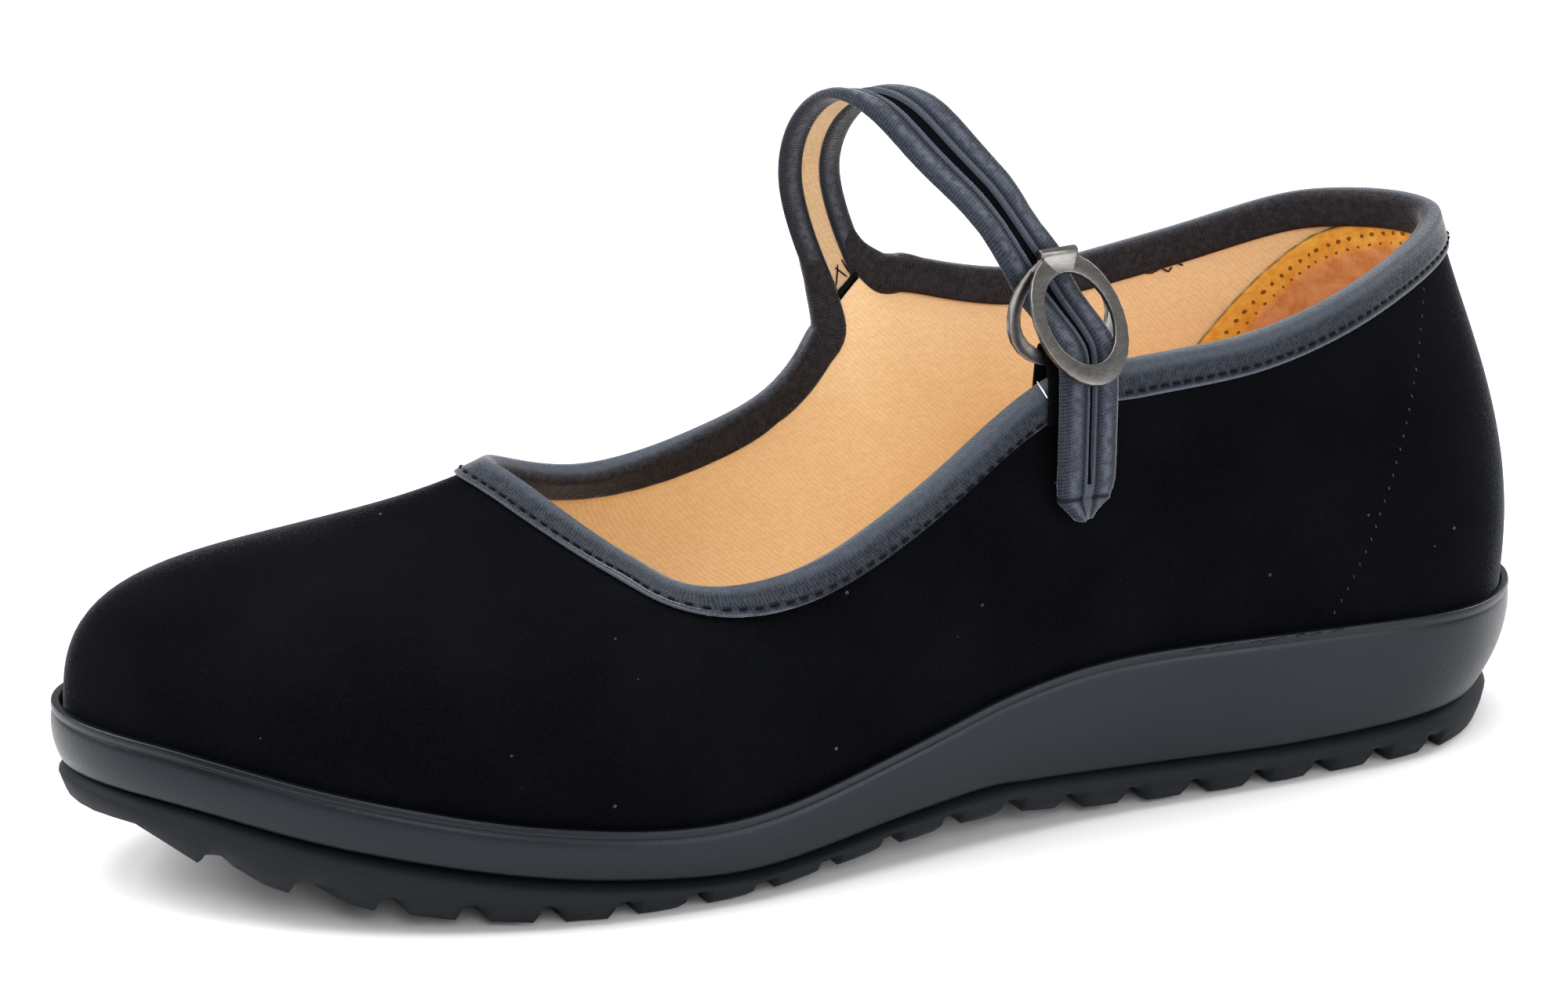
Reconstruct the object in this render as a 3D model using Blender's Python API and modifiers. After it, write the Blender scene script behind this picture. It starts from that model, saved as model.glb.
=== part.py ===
"""A left cloth shoe: a hollow upper with a bound topline, an instep strap that a folding buckle clamps,
an insole, and a moulded wedge sole on a lugged tread.

Metres, +Z up. +X runs from the toe to the heel and +Y is the medial side. The origin is on the floor, under
the middle of the shoe.
"""

import math
from bisect import bisect_right
from collections import namedtuple

import bpy
import bmesh
from mathutils import Vector

MM = 0.001

# Driving sizes of the sole
SOLE_LENGTH = 250 * MM
BALL_WIDTH = 88 * MM
HEEL_WIDTH = 62.5 * MM
HEEL_HEIGHT = 26 * MM
FOREFOOT_HEIGHT = 13.5 * MM
TOE_SPRING = 15.5 * MM
ARCH_LIFT = 3.5 * MM
TREAD_THICKNESS = 7.6 * MM
WALL_TAPER = 1.4 * MM
HEEL_TAPER = 2.8 * MM
TREAD_BULGE = 0.8 * MM
LUG_PITCH = 11.55 * MM
FIRST_GROOVE = 25.6 * MM
GROOVE_WIDTH = 5.0 * MM
GROOVE_DEPTH = 2.7 * MM
LIP_THICKNESS = 1.7 * MM
LIP_HEIGHT = 3.6 * MM
BEAD_HEIGHT = 1.5 * MM
BEAD_GROOVE = 0.6 * MM

# Driving sizes of the upper, its edge binding and the insole
UPPER_WALL = 1.8 * MM
BACK_HEIGHT = 60.5 * MM
SIDE_HEIGHT = 48 * MM
VAMP_HEIGHT = 42 * MM
OPENING_WIDTH = 62 * MM
BINDING_WIDTH = 5.2 * MM
BINDING_THICKNESS = 0.6 * MM
INSOLE_THICKNESS = 2.6 * MM

# Driving sizes of the strap, the buckle and the loop that keeps it
STRAP_WIDTH = 11.0 * MM
STRAP_BAND = 1.2 * MM
STRAP_BACKING = 0.7 * MM
STRAP_RISE = 38.5 * MM
STRAP_TAIL = 22.5 * MM
STRAP_SLANT = 3.9 * MM
STRAP_DRIFT = 1.5 * MM
RING_THICKNESS = 0.9 * MM
RING_WIDTH = 16.5 * MM
RING_LENGTH = 22 * MM
RING_SIDE = 2.2 * MM
RING_END = 3.4 * MM
BACK_RING_WIDTH = 20.5 * MM
BACK_RING_LENGTH = 17.6 * MM
BACK_RING_BAR = 2.2 * MM
BACK_RING_LEAN = 10
BACK_RING_SAG = 0.18
RING_STAND = 3.0 * MM
KEEPER_WIDTH = 9.0 * MM
KEEPER_THICKNESS = 0.6 * MM
KEEPER_LENGTH = 5.5 * MM

CLEARANCE = 0.3 * MM

SOLE_STEPS = 36
UPPER_STEPS = 80
UPPER_ROWS = 10
STRAP_STEPS = 46
RING_STEPS = 28

# The sole at sections along its length. along: share of the length from the back of the heel. ball: how far
# the width has gone from heel width to ball width. lateral, medial: half widths as shares of that width.
# wedge: share of the way from forefoot height to heel height. lip, foot: shares of the toe spring at the lip
# and at the lugs' feet. arch: share of the arch lift. tread: share of the tread's thickness.
SoleRow = namedtuple("SoleRow", "along ball lateral medial wedge lip foot arch tread")
SOLE = [
    SoleRow(0.000, 0.00, -0.032, 0.032, 0.76, 0.00, 0.00, 0.00, 1.00),
    SoleRow(0.020, 0.00, 0.192, 0.256, 0.78, 0.00, 0.00, 0.00, 1.00),
    SoleRow(0.080, 0.00, 0.396, 0.448, 0.84, 0.00, 0.00, 0.00, 0.94),
    SoleRow(0.200, 0.00, 0.472, 0.528, 0.97, 0.00, 0.00, 0.00, 0.84),
    SoleRow(0.350, 0.00, 0.504, 0.504, 1.03, 0.00, 0.00, 0.30, 0.85),
    SoleRow(0.430, 0.14, 0.522, 0.482, 0.85, 0.00, 0.00, 1.00, 0.68),
    SoleRow(0.500, 0.35, 0.532, 0.462, 0.50, 0.00, 0.00, 0.85, 0.60),
    SoleRow(0.630, 0.85, 0.519, 0.475, 0.01, 0.00, 0.00, 0.00, 0.57),
    SoleRow(0.750, 1.00, 0.483, 0.500, 0.00, 0.18, 0.02, 0.00, 0.95),
    SoleRow(0.870, 1.00, 0.369, 0.420, 0.00, 0.58, 0.27, 0.00, 1.20),
    SoleRow(0.955, 1.00, 0.193, 0.278, 0.00, 0.93, 0.66, 0.00, 1.10),
    SoleRow(1.000, 1.00, -0.068, 0.068, 0.00, 1.00, 0.96, 0.00, 0.62),
]

# The topline, and how the wall runs down from it, at turns in degrees: 0 is the back of the heel, 180 the toe,
# and the lateral side comes first. along: share of the sole length from the back of the heel. across: share of
# the opening's width. back, side, vamp: shares of those heights above the sole's lip. rise, bulge: the wall's
# upward and outward pull at the lip. fall, reach: its downward and outward pull at the topline. Those four are
# shares of the wall's height, bulge of the heel width, and reach of the way out to the lip.
WallRow = namedtuple("WallRow", "turn along across back side vamp rise bulge fall reach")
WALL = [
    WallRow(0, 0.052, 0.048, 1.00, 0.00, 0.00, 0.45, 0.050, 0.30, 0.45),
    WallRow(38, 0.154, -0.300, 0.30, 0.74, 0.00, 0.40, 0.050, 0.30, 0.40),
    WallRow(58, 0.247, -0.410, 0.00, 1.00, 0.00, 0.38, 0.045, 0.30, 0.40),
    WallRow(71, 0.342, -0.455, 0.00, 0.97, 0.00, 0.36, 0.045, 0.30, 0.40),
    WallRow(78, 0.392, -0.480, 0.00, 0.98, 0.00, 0.36, 0.045, 0.30, 0.40),
    WallRow(87, 0.478, -0.515, 0.00, 0.40, 0.46, 0.40, 0.060, 0.30, 0.40),
    WallRow(97, 0.556, -0.515, 0.00, 0.00, 0.77, 0.45, 0.070, 0.28, 0.40),
    WallRow(109, 0.621, -0.440, 0.00, 0.00, 0.74, 0.55, 0.075, 0.16, 0.46),
    WallRow(133, 0.649, -0.240, 0.00, 0.00, 0.78, 0.76, 0.070, 0.20, 0.50),
    WallRow(180, 0.696, 0.070, 0.00, 0.00, 0.98, 1.05, 0.055, 0.46, 0.44),
    WallRow(221, 0.696, 0.290, 0.00, 0.00, 0.99, 0.70, 0.060, 0.34, 0.42),
    WallRow(251, 0.613, 0.420, 0.00, 0.00, 0.86, 0.52, 0.070, 0.22, 0.42),
    WallRow(266, 0.528, 0.490, 0.00, 0.00, 0.83, 0.45, 0.060, 0.28, 0.40),
    WallRow(273, 0.471, 0.500, 0.00, 0.30, 0.56, 0.40, 0.050, 0.30, 0.40),
    WallRow(276, 0.444, 0.500, 0.00, 0.96, 0.00, 0.38, 0.050, 0.30, 0.40),
    WallRow(281, 0.412, 0.500, 0.00, 1.11, 0.00, 0.36, 0.045, 0.30, 0.40),
    WallRow(287, 0.359, 0.500, 0.00, 1.03, 0.00, 0.36, 0.045, 0.30, 0.40),
    WallRow(293, 0.307, 0.500, 0.00, 0.98, 0.00, 0.36, 0.045, 0.30, 0.40),
    WallRow(306, 0.207, 0.484, 0.00, 1.07, 0.00, 0.38, 0.045, 0.30, 0.40),
    WallRow(326, 0.106, 0.387, 0.80, 0.22, 0.00, 0.42, 0.050, 0.30, 0.40),
]
BUCKLE_TURN = 77.2
STRAP_FRONT_TURN = 276
STRAP_REAR_TURN = 281

# The strap's free loop, from its root to where it goes behind the buckle. across: share of that way.
# up: share of the strap's rise above its root. forward: share of the rise towards the toe. twist: degrees by
# which the strap's rear edge turns to the medial side.
LoopRow = namedtuple("LoopRow", "across up forward twist")
LOOP = [
    LoopRow(0.05, 0.305, 0.164, 8),
    LoopRow(0.13, 0.580, 0.280, 10),
    LoopRow(0.28, 0.840, 0.335, 8),
    LoopRow(0.44, 0.990, 0.310, -6),
    LoopRow(0.61, 0.970, 0.235, -18),
    LoopRow(0.76, 0.810, 0.155, -22),
    LoopRow(0.89, 0.670, 0.085, -14),
]


def clear_scene():
    """Remove every object that the scene holds."""
    for old in list(bpy.data.objects):
        bpy.data.objects.remove(old, do_unlink=True)


def new_collection(name):
    """Make a collection in the scene."""
    collection = bpy.data.collections.new(name)
    bpy.context.scene.collection.children.link(collection)
    return collection


def new_material(name, colour, roughness, metallic=0.0):
    """Make a Principled material."""
    material = bpy.data.materials.new(name)
    material.use_nodes = True
    shader = material.node_tree.nodes["Principled BSDF"]
    shader.inputs["Base Color"].default_value = (*colour, 1.0)
    shader.inputs["Roughness"].default_value = roughness
    shader.inputs["Metallic"].default_value = metallic
    material.diffuse_color = (*colour, 1.0)
    return material


def mix(low, high, share):
    """Go from low to high by a share."""
    return low + (high - low) * share


def smooth(knots, values, place):
    """Read a smooth curve that goes through each value at its knot."""
    last = len(knots) - 1
    left = min(max(bisect_right(knots, place) - 1, 0), last - 1)
    right = left + 1
    width = knots[right] - knots[left]

    def slope(index):
        before = max(index - 1, 0)
        after = min(index + 1, last)
        return (values[after] - values[before]) / (knots[after] - knots[before])

    part = (place - knots[left]) / width
    square = part * part
    cube = square * part
    return (
        values[left] * (2 * cube - 3 * square + 1)
        + values[right] * (3 * square - 2 * cube)
        + slope(left) * width * (cube - 2 * square + part)
        + slope(right) * width * (cube - square)
    )


def around(knots, values, turn):
    """Read a smooth closed curve, whose knots are turns in degrees and which repeats after 360."""
    count = len(knots)
    wrapped_knots = [knots[i % count] + 360 * (i // count) for i in range(-3, count + 3)]
    wrapped_values = [values[i % count] for i in range(-3, count + 3)]
    return smooth(wrapped_knots, wrapped_values, turn % 360)


# Shape of the sole


def turn_of(along):
    """Give the turn in degrees, on the lateral side, at a share of the length."""
    return math.degrees(math.acos(1 - 2 * along))


def along_of(turn):
    """Give the share of the length at a turn in degrees."""
    return (1 - math.cos(math.radians(turn))) / 2


def side_table():
    """List the outline's turns and its sideways places, all the way round."""
    lateral = []
    medial = []
    for row in SOLE:
        width = mix(HEEL_WIDTH, BALL_WIDTH, row.ball)
        lateral.append((turn_of(row.along), -row.lateral * width))
        medial.append((360 - turn_of(row.along), row.medial * width))
    closed = lateral + medial[-2:0:-1]
    return [turn for turn, _ in closed], [side for _, side in closed]


OUTLINE_TURNS, OUTLINE_SIDES = side_table()


def column(name, along):
    """Read one column of the sole's table at a share of the length."""
    return smooth([row.along for row in SOLE], [getattr(row, name) for row in SOLE], along)


def outline_point(turn):
    """Give the sole's widest outline at a turn, seen from above."""
    x = SOLE_LENGTH / 2 * math.cos(math.radians(turn))
    return Vector((x, around(OUTLINE_TURNS, OUTLINE_SIDES, turn), 0))


def outward(turn):
    """Give the level direction that points away from the outline at a turn."""
    step = 0.5
    run = outline_point(turn + step) - outline_point(turn - step)
    return Vector((-run.y, run.x, 0)).normalized()


def inset_point(turn, inset, height):
    """Give the outline's point at a turn, moved in by an inset and set at a height."""
    point = outline_point(turn) - outward(turn) * inset
    return Vector((point.x, point.y, height))


def lip_height(along):
    """Give the height of the top of the sole's lip above the floor."""
    base = mix(FOREFOOT_HEIGHT, HEEL_HEIGHT, column("wedge", along))
    return base + TOE_SPRING * column("lip", along)


def underside(along):
    """Give the height of the lugs' feet above the floor."""
    lift = TOE_SPRING * column("foot", along) + ARCH_LIFT * column("arch", along)
    return max(lift, 0)


def tread_top(along):
    """Give the height at which the tread ends and the wedge begins."""
    return underside(along) + TREAD_THICKNESS * column("tread", along)


def seam_inset(along):
    """Give how far the wedge's wall has drawn in where it meets the tread."""
    heel_share = min(max(1 - along / 0.14, 0), 1)
    return WALL_TAPER + HEEL_TAPER * heel_share * heel_share * (3 - 2 * heel_share)


def even_turns(count, measure):
    """Spread turns so that the points which measure gives for them lie evenly spaced."""
    fine = [360 * i / 1440 for i in range(1441)]
    lengths = [0.0]
    previous = measure(fine[0])
    for turn in fine[1:]:
        here = measure(turn)
        lengths.append(lengths[-1] + sum((a - b).length for a, b in zip(here, previous)))
        previous = here
    turns = []
    for i in range(count):
        wanted = lengths[-1] * i / count
        after = min(bisect_right(lengths, wanted), len(fine) - 1)
        share = (wanted - lengths[after - 1]) / (lengths[after] - lengths[after - 1])
        turns.append(mix(fine[after - 1], fine[after], share))
    return turns


def paired_turns(half):
    """Give turns in pairs, so that each lateral one has a medial one straight across from it."""
    return half + [360 - turn for turn in half[-2:0:-1]]


def sole_turns():
    """Give the turns of the sole's rings, evenly spaced along its edge."""
    def both_sides(turn):
        return [outline_point(turn / 2), outline_point(360 - turn / 2)]

    spread = even_turns(SOLE_STEPS, both_sides)
    return paired_turns([turn / 2 for turn in spread] + [180.0])


# Meshes


def mesh_object(name, points, faces, material, collection):
    """Make an object from points and faces, with its faces pointing out."""
    mesh = bpy.data.meshes.new(name)
    mesh.from_pydata([tuple(point) for point in points], [], faces)
    work = bmesh.new()
    work.from_mesh(mesh)
    bmesh.ops.recalc_face_normals(work, faces=work.faces)
    work.to_mesh(mesh)
    work.free()
    mesh.materials.append(material)
    mesh.shade_smooth()
    mesh.set_sharp_from_angle(angle=math.radians(40))
    made = bpy.data.objects.new(name, mesh)
    collection.objects.link(made)
    return made


def ring_faces(rings, count, closed_rings=False, closed_round=True):
    """Give the quads between rings of equal counts."""
    faces = []
    for ring in range(rings if closed_rings else rings - 1):
        low = ring * count
        high = (ring + 1) % rings * count
        for i in range(count if closed_round else count - 1):
            j = (i + 1) % count
            faces.append((low + i, low + j, high + j, high + i))
    return faces


def cap_faces(start, count):
    """Close a ring of paired points with strips that run straight across it."""
    half = count // 2
    faces = [(start, start + 1, start + count - 1)]
    for i in range(1, half - 1):
        faces.append((start + i, start + i + 1, start + count - i - 1, start + count - i))
    faces.append((start + half - 1, start + half, start + half + 1))
    return faces


def capped_loft(name, rings, material, collection):
    """Make one solid from rings of paired points, closed at the first ring and the last."""
    count = len(rings[0])
    points = [point for ring in rings for point in ring]
    faces = ring_faces(len(rings), count)
    faces += cap_faces(0, count)
    faces += cap_faces((len(rings) - 1) * count, count)
    return mesh_object(name, points, faces, material, collection)


def ring_at(turns, inset_of, height_of):
    """Give one ring round the sole, with an inset and a height that may change along it."""
    ring = []
    for turn in turns:
        along = along_of(turn)
        ring.append(inset_point(turn, inset_of(along), height_of(along)))
    return ring


# The sole


def groove_cut(distance):
    """Give the depth of the tread's grooves at a distance from the back of the heel."""
    groove = round((distance - FIRST_GROOVE) / LUG_PITCH)
    if groove < 0:
        return 0.0
    off = abs(distance - FIRST_GROOVE - groove * LUG_PITCH) / (GROOVE_WIDTH / 2)
    return GROOVE_DEPTH * math.sqrt(max(1 - off * off, 0))


def tread_turns():
    """Give the tread's turns: five across each groove, and some round the heel and the toe."""
    groove_shares = (-1.0, -0.7, 0.0, 0.7, 1.0)
    toe_margin = 12 * MM
    distances = []
    centre = FIRST_GROOVE
    while centre < SOLE_LENGTH - toe_margin:
        distances += [centre + share * GROOVE_WIDTH / 2 for share in groove_shares]
        centre += LUG_PITCH
    turns = [turn_of(distance / SOLE_LENGTH) for distance in distances]
    heel_count = 5
    toe_count = 3
    turns = [turns[0] * i / heel_count for i in range(heel_count)] + turns
    last = turns[-1]
    turns += [mix(last, 180.0, (i + 1) / toe_count) for i in range(toe_count)]
    return paired_turns(turns)


def make_outsole(material, collection):
    """Make the tread, with its grooves straight across and its rounded edge."""
    turns = tread_turns()

    def groove(along):
        return groove_cut(along * SOLE_LENGTH)

    def shoulder(along):
        return mix(underside(along), tread_top(along), 0.66)

    rings = [
        ring_at(turns, lambda a: seam_inset(a) + TREAD_BULGE, lambda a: tread_top(a) - CLEARANCE),
        ring_at(turns, lambda a: seam_inset(a) - TREAD_BULGE / 2, shoulder),
        ring_at(turns, lambda a: seam_inset(a) + TREAD_BULGE, lambda a: underside(a) + groove(a)),
    ]
    return capped_loft("outsole", rings, material, collection)


def make_midsole(material, collection):
    """Make the wedge: a wall that tapers down to the tread, a beaded lip, and a recess for the footbed."""
    turns = sole_turns()

    def below(drop):
        return lambda along: lip_height(along) - drop

    def wall(share):
        return lambda along: mix(tread_top(along), lip_height(along) - BEAD_HEIGHT - BEAD_GROOVE, share)

    rings = [
        ring_at(turns, lambda a: seam_inset(a) + BEAD_GROOVE, tread_top),
        ring_at(turns, seam_inset, wall(0.06)),
        ring_at(turns, lambda a: seam_inset(a) * 0.40, wall(0.35)),
        ring_at(turns, lambda a: seam_inset(a) * 0.08, wall(0.72)),
        ring_at(turns, lambda a: BEAD_GROOVE * 0.4, wall(1.0)),
        ring_at(turns, lambda a: BEAD_GROOVE, below(BEAD_HEIGHT)),
        ring_at(turns, lambda a: BEAD_GROOVE * 0.3, below(BEAD_HEIGHT * 0.6)),
        ring_at(turns, lambda a: BEAD_GROOVE * 0.7, below(0)),
        ring_at(turns, lambda a: LIP_THICKNESS, below(0)),
        ring_at(turns, lambda a: LIP_THICKNESS, below(LIP_HEIGHT)),
    ]
    return capped_loft("midsole", rings, material, collection)


def make_insole(material, collection):
    """Make the insole, which lies in the recess inside the foot of the upper."""
    turns = sole_turns()
    inset = LIP_THICKNESS + CLEARANCE + UPPER_WALL + CLEARANCE
    edge = INSOLE_THICKNESS * 0.25

    def above_floor(height):
        return lambda along: lip_height(along) - LIP_HEIGHT + CLEARANCE + height

    rings = [
        ring_at(turns, lambda a: inset, above_floor(0)),
        ring_at(turns, lambda a: inset, above_floor(INSOLE_THICKNESS - edge)),
        ring_at(turns, lambda a: inset + edge, above_floor(INSOLE_THICKNESS)),
    ]
    return capped_loft("insole", rings, material, collection)


# The upper


def wall_value(name, turn):
    """Read one column of the upper's table at a turn."""
    return around([row.turn for row in WALL], [getattr(row, name) for row in WALL], turn)


def free_topline(turn):
    """Give the outer edge of the opening at a turn, as its table has it."""
    along = wall_value("along", turn)
    height = lip_height(along)
    height += wall_value("back", turn) * BACK_HEIGHT
    height += wall_value("side", turn) * SIDE_HEIGHT
    height += wall_value("vamp", turn) * VAMP_HEIGHT
    return Vector((SOLE_LENGTH * (0.5 - along), wall_value("across", turn) * OPENING_WIDTH, height))


def topline(turn):
    """Give the outer edge of the opening at a turn, straight where the strap is sewn on."""
    share = (turn % 360 - STRAP_FRONT_TURN) / (STRAP_REAR_TURN - STRAP_FRONT_TURN)
    if 0 < share < 1:
        return free_topline(STRAP_FRONT_TURN).lerp(free_topline(STRAP_REAR_TURN), share)
    return free_topline(turn)


def upper_foot(turn):
    """Give the foot of the upper's outer face at a turn, just above the recess."""
    height = lip_height(along_of(turn)) - LIP_HEIGHT + CLEARANCE
    return inset_point(turn, LIP_THICKNESS + CLEARANCE, height)


def wall_curve(turn, steps=48):
    """Give points up the outer face at a turn, from the lip to the topline."""
    low = upper_foot(turn)
    low.z = lip_height(along_of(turn)) + CLEARANCE
    high = topline(turn)
    height = high.z - low.z
    side = outward(turn)
    low_pull = low + Vector((0, 0, wall_value("rise", turn) * height))
    low_pull += side * wall_value("bulge", turn) * HEEL_WIDTH
    way_out = Vector((low.x - high.x, low.y - high.y, 0))
    high_pull = high + way_out * wall_value("reach", turn)
    high_pull.z -= wall_value("fall", turn) * height
    curve = []
    for i in range(steps + 1):
        up = i / steps
        down = 1 - up
        point = low * down**3 + low_pull * 3 * down**2 * up
        point += high_pull * 3 * down * up**2 + high * up**3
        curve.append(point)
    return curve


def point_at(curve, distance):
    """Give the point at a distance along a curve from its last point."""
    left = distance
    for start, end in zip(curve[:0:-1], curve[-2::-1]):
        step = (end - start).length
        if left <= step:
            return start.lerp(end, left / step)
        left -= step
    return curve[0]


def wall_column(turn):
    """Give the upper's points at one turn, from its foot to the topline."""
    curve = wall_curve(turn)
    length = sum((a - b).length for a, b in zip(curve, curve[1:]))
    free = length - BINDING_WIDTH
    points = [upper_foot(turn)]
    points += [point_at(curve, length - free * i / UPPER_ROWS) for i in range(UPPER_ROWS)]
    points += [point_at(curve, BINDING_WIDTH), point_at(curve, BINDING_WIDTH / 2), curve[-1]]
    return points


def upper_turns():
    """Give the upper's turns, spaced evenly, with one at each end of the strap's seam."""
    turns = even_turns(UPPER_STEPS, lambda turn: [upper_foot(turn), topline(turn)])
    for seam_end in (STRAP_FRONT_TURN, STRAP_REAR_TURN):
        nearest = min(range(len(turns)), key=lambda i: abs(turns[i] - seam_end))
        turns[nearest] = seam_end
    return turns


def wall_normal(turn, distance):
    """Give the outward direction of the upper's outer face, at a distance down from the topline."""
    step = 1.0
    run = point_at(wall_curve(turn + step), distance) - point_at(wall_curve(turn - step), distance)
    here = wall_curve(turn)
    fall = point_at(here, distance + BINDING_WIDTH / 4) - point_at(here, max(distance - BINDING_WIDTH / 4, 0))
    return run.cross(fall).normalized()


def add_solidify(made, thickness, offset):
    """Give an open surface its thickness."""
    shell = made.modifiers.new("wall", "SOLIDIFY")
    shell.thickness = thickness
    shell.offset = offset
    shell.use_even_offset = True
    return shell


def make_upper(material, collection):
    """Make the hollow upper: its outer face, given the wall's thickness inwards."""
    columns = [wall_column(turn) for turn in upper_turns()]
    rows = len(columns[0])
    points = [column_points[row] for row in range(rows) for column_points in columns]
    made = mesh_object("upper", points, ring_faces(rows, len(columns)), material, collection)
    face_out(made)
    add_solidify(made, UPPER_WALL, -1)
    return made


def face_out(made):
    """Turn an open surface round if its faces point at the middle of the shoe."""
    work = bmesh.new()
    work.from_mesh(made.data)
    work.faces.ensure_lookup_table()
    first = work.faces[0]
    centre = first.calc_center_median()
    if first.normal.dot(Vector((centre.x, centre.y, 0))) < 0:
        bmesh.ops.reverse_faces(work, faces=work.faces)
    work.to_mesh(made.data)
    work.free()


def binding_turns():
    """Give the binding's turns: from behind the strap's root, round the heel, to before the root."""
    margin = 0.55
    inner = [turn for turn in upper_turns() if not STRAP_FRONT_TURN - 1 < turn < STRAP_REAR_TURN + 1]
    after = [turn for turn in inner if turn > STRAP_REAR_TURN]
    before = [turn + 360 for turn in inner if turn < STRAP_FRONT_TURN]
    return [STRAP_REAR_TURN + margin] + after + before + [STRAP_FRONT_TURN + 360 - margin]


def taped_point(turn, drop, stand):
    """Give a point that stands off the outer face, or off the inner face where the stand is negative."""
    side = wall_normal(turn, drop)
    face = point_at(wall_curve(turn), drop)
    return face + side * stand if stand > 0 else face + side * (stand - UPPER_WALL)


def make_binding(material, collection):
    """Make the tape that is folded over the topline, clear of both faces of the wall."""
    points = []
    turns = binding_turns()
    for turn in turns:
        crown = topline(turn) - wall_normal(turn, 0) * UPPER_WALL / 2
        crown += (crown - point_at(wall_curve(turn), BINDING_WIDTH / 2)).normalized() * CLEARANCE * 1.5
        points += [taped_point(turn, BINDING_WIDTH * share, CLEARANCE) for share in (1.0, 0.5, 0.0)]
        points.append(crown)
        points += [taped_point(turn, BINDING_WIDTH * share, -CLEARANCE * 1.5) for share in (0.0, 0.5, 1.0)]
    rows = len(points) // len(turns)
    faces = ring_faces(len(turns), rows, closed_round=False)
    made = mesh_object("topline_binding", points, faces, material, collection)
    face_out(made)
    add_solidify(made, BINDING_THICKNESS, 1)
    return made


# The buckle


def buckle_frame():
    """Give the topline's point under the buckle, and the directions along, out and up from it."""
    out = outward(BUCKLE_TURN)
    up = Vector((0, 0, 1))
    return topline(BUCKLE_TURN), up.cross(out), out, up


def crown_height():
    """Give how far the binding stands off the topline, upwards and outwards."""
    return CLEARANCE + BINDING_THICKNESS


def keeper_face():
    """Give how far the keeper's outer face stands out of the topline."""
    return crown_height() + CLEARANCE + KEEPER_THICKNESS


def hinge_place():
    """Give the fold's place out of the topline and up from it."""
    lean = math.radians(BACK_RING_LEAN)
    out = -UPPER_WALL / 2 - BACK_RING_LENGTH * math.sin(lean)
    return out, crown_height() + CLEARANCE + BACK_RING_LENGTH * math.cos(lean)


def strap_out():
    """Give how far out of the topline the strap's centre line runs below the buckle."""
    return keeper_face() + 2 * CLEARANCE + STRAP_BACKING


def ring_foot_out():
    """Give how far out of the topline the front ring's foot stands, with the strap behind it."""
    return strap_out() + STRAP_BAND + CLEARANCE + RING_THICKNESS / 2 + RING_STAND


def ring_points(hinge, downward, width, length, side, end, sag):
    """Give an oval ring's section points, in fours, hung from the hinge along a direction."""
    along = buckle_frame()[1]
    face = along.cross(downward).normalized()
    centre = hinge + downward * length / 2
    points = []
    for i in range(RING_STEPS):
        angle = 2 * math.pi * i / RING_STEPS
        wide = math.cos(angle)
        tall = math.sin(angle)
        spread = 1 - sag * tall
        for half_width, half_length, depth in (
            (width / 2, length / 2, 0.5),
            (width / 2, length / 2, -0.5),
            (width / 2 - side, length / 2 - end, -0.5),
            (width / 2 - side, length / 2 - end, 0.5),
        ):
            point = centre + along * wide * half_width * spread - downward * tall * half_length
            points.append(point + face * depth * RING_THICKNESS)
    return points


def add_boolean(target, tool, operation):
    """Join or cut a target with another closed mesh, and leave the result on the target."""
    modifier = target.modifiers.new(operation.lower(), "BOOLEAN")
    modifier.operation = operation
    modifier.object = tool
    modifier.solver = "EXACT"
    tool.hide_render = True
    tool.display_type = "WIRE"


def make_buckle(material, collection, guides):
    """Make the buckle: a front ring and a wider back ring, folded from one strip of sheet."""
    edge, along, out, up = buckle_frame()
    hinge_out, hinge_up = hinge_place()
    hinge = edge + out * hinge_out + up * hinge_up
    front_run = out * (ring_foot_out() - hinge_out)
    drop = math.sqrt(max(RING_LENGTH**2 - front_run.length**2, 0))
    front_down = (front_run - up * drop).normalized()
    lean = math.radians(BACK_RING_LEAN)
    back_down = out * math.sin(lean) - up * math.cos(lean)
    front = ring_points(hinge, front_down, RING_WIDTH, RING_LENGTH, RING_SIDE, RING_END, 0.0)
    back = ring_points(
        hinge, back_down, BACK_RING_WIDTH, BACK_RING_LENGTH, BACK_RING_BAR, BACK_RING_BAR, BACK_RING_SAG
    )
    faces = ring_faces(RING_STEPS, 4, closed_rings=True)
    made = mesh_object("buckle", front, faces, material, collection)
    back_ring = mesh_object("back_ring_form", back, faces, material, guides)
    fold = make_rod("fold_form", hinge, along, RING_THICKNESS * 0.95, RING_WIDTH * 0.42, material, guides)
    add_boolean(made, back_ring, "UNION")
    add_boolean(made, fold, "UNION")
    return made


def make_rod(name, centre, axis, radius, length, material, collection):
    """Make a short round rod about an axis."""
    work = bmesh.new()
    bmesh.ops.create_cone(work, cap_ends=True, segments=12, radius1=radius, radius2=radius, depth=length)
    mesh = bpy.data.meshes.new(name)
    work.to_mesh(mesh)
    work.free()
    mesh.materials.append(material)
    made = bpy.data.objects.new(name, mesh)
    made.rotation_euler = axis.to_track_quat("Z", "Y").to_euler()
    made.location = centre
    collection.objects.link(made)
    return made


def back_ring_plane(height):
    """Give how far out of the topline the back ring's middle plane lies, at a height above the topline."""
    rise = height - crown_height() - CLEARANCE
    return -UPPER_WALL / 2 - rise * math.tan(math.radians(BACK_RING_LEAN))


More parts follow.
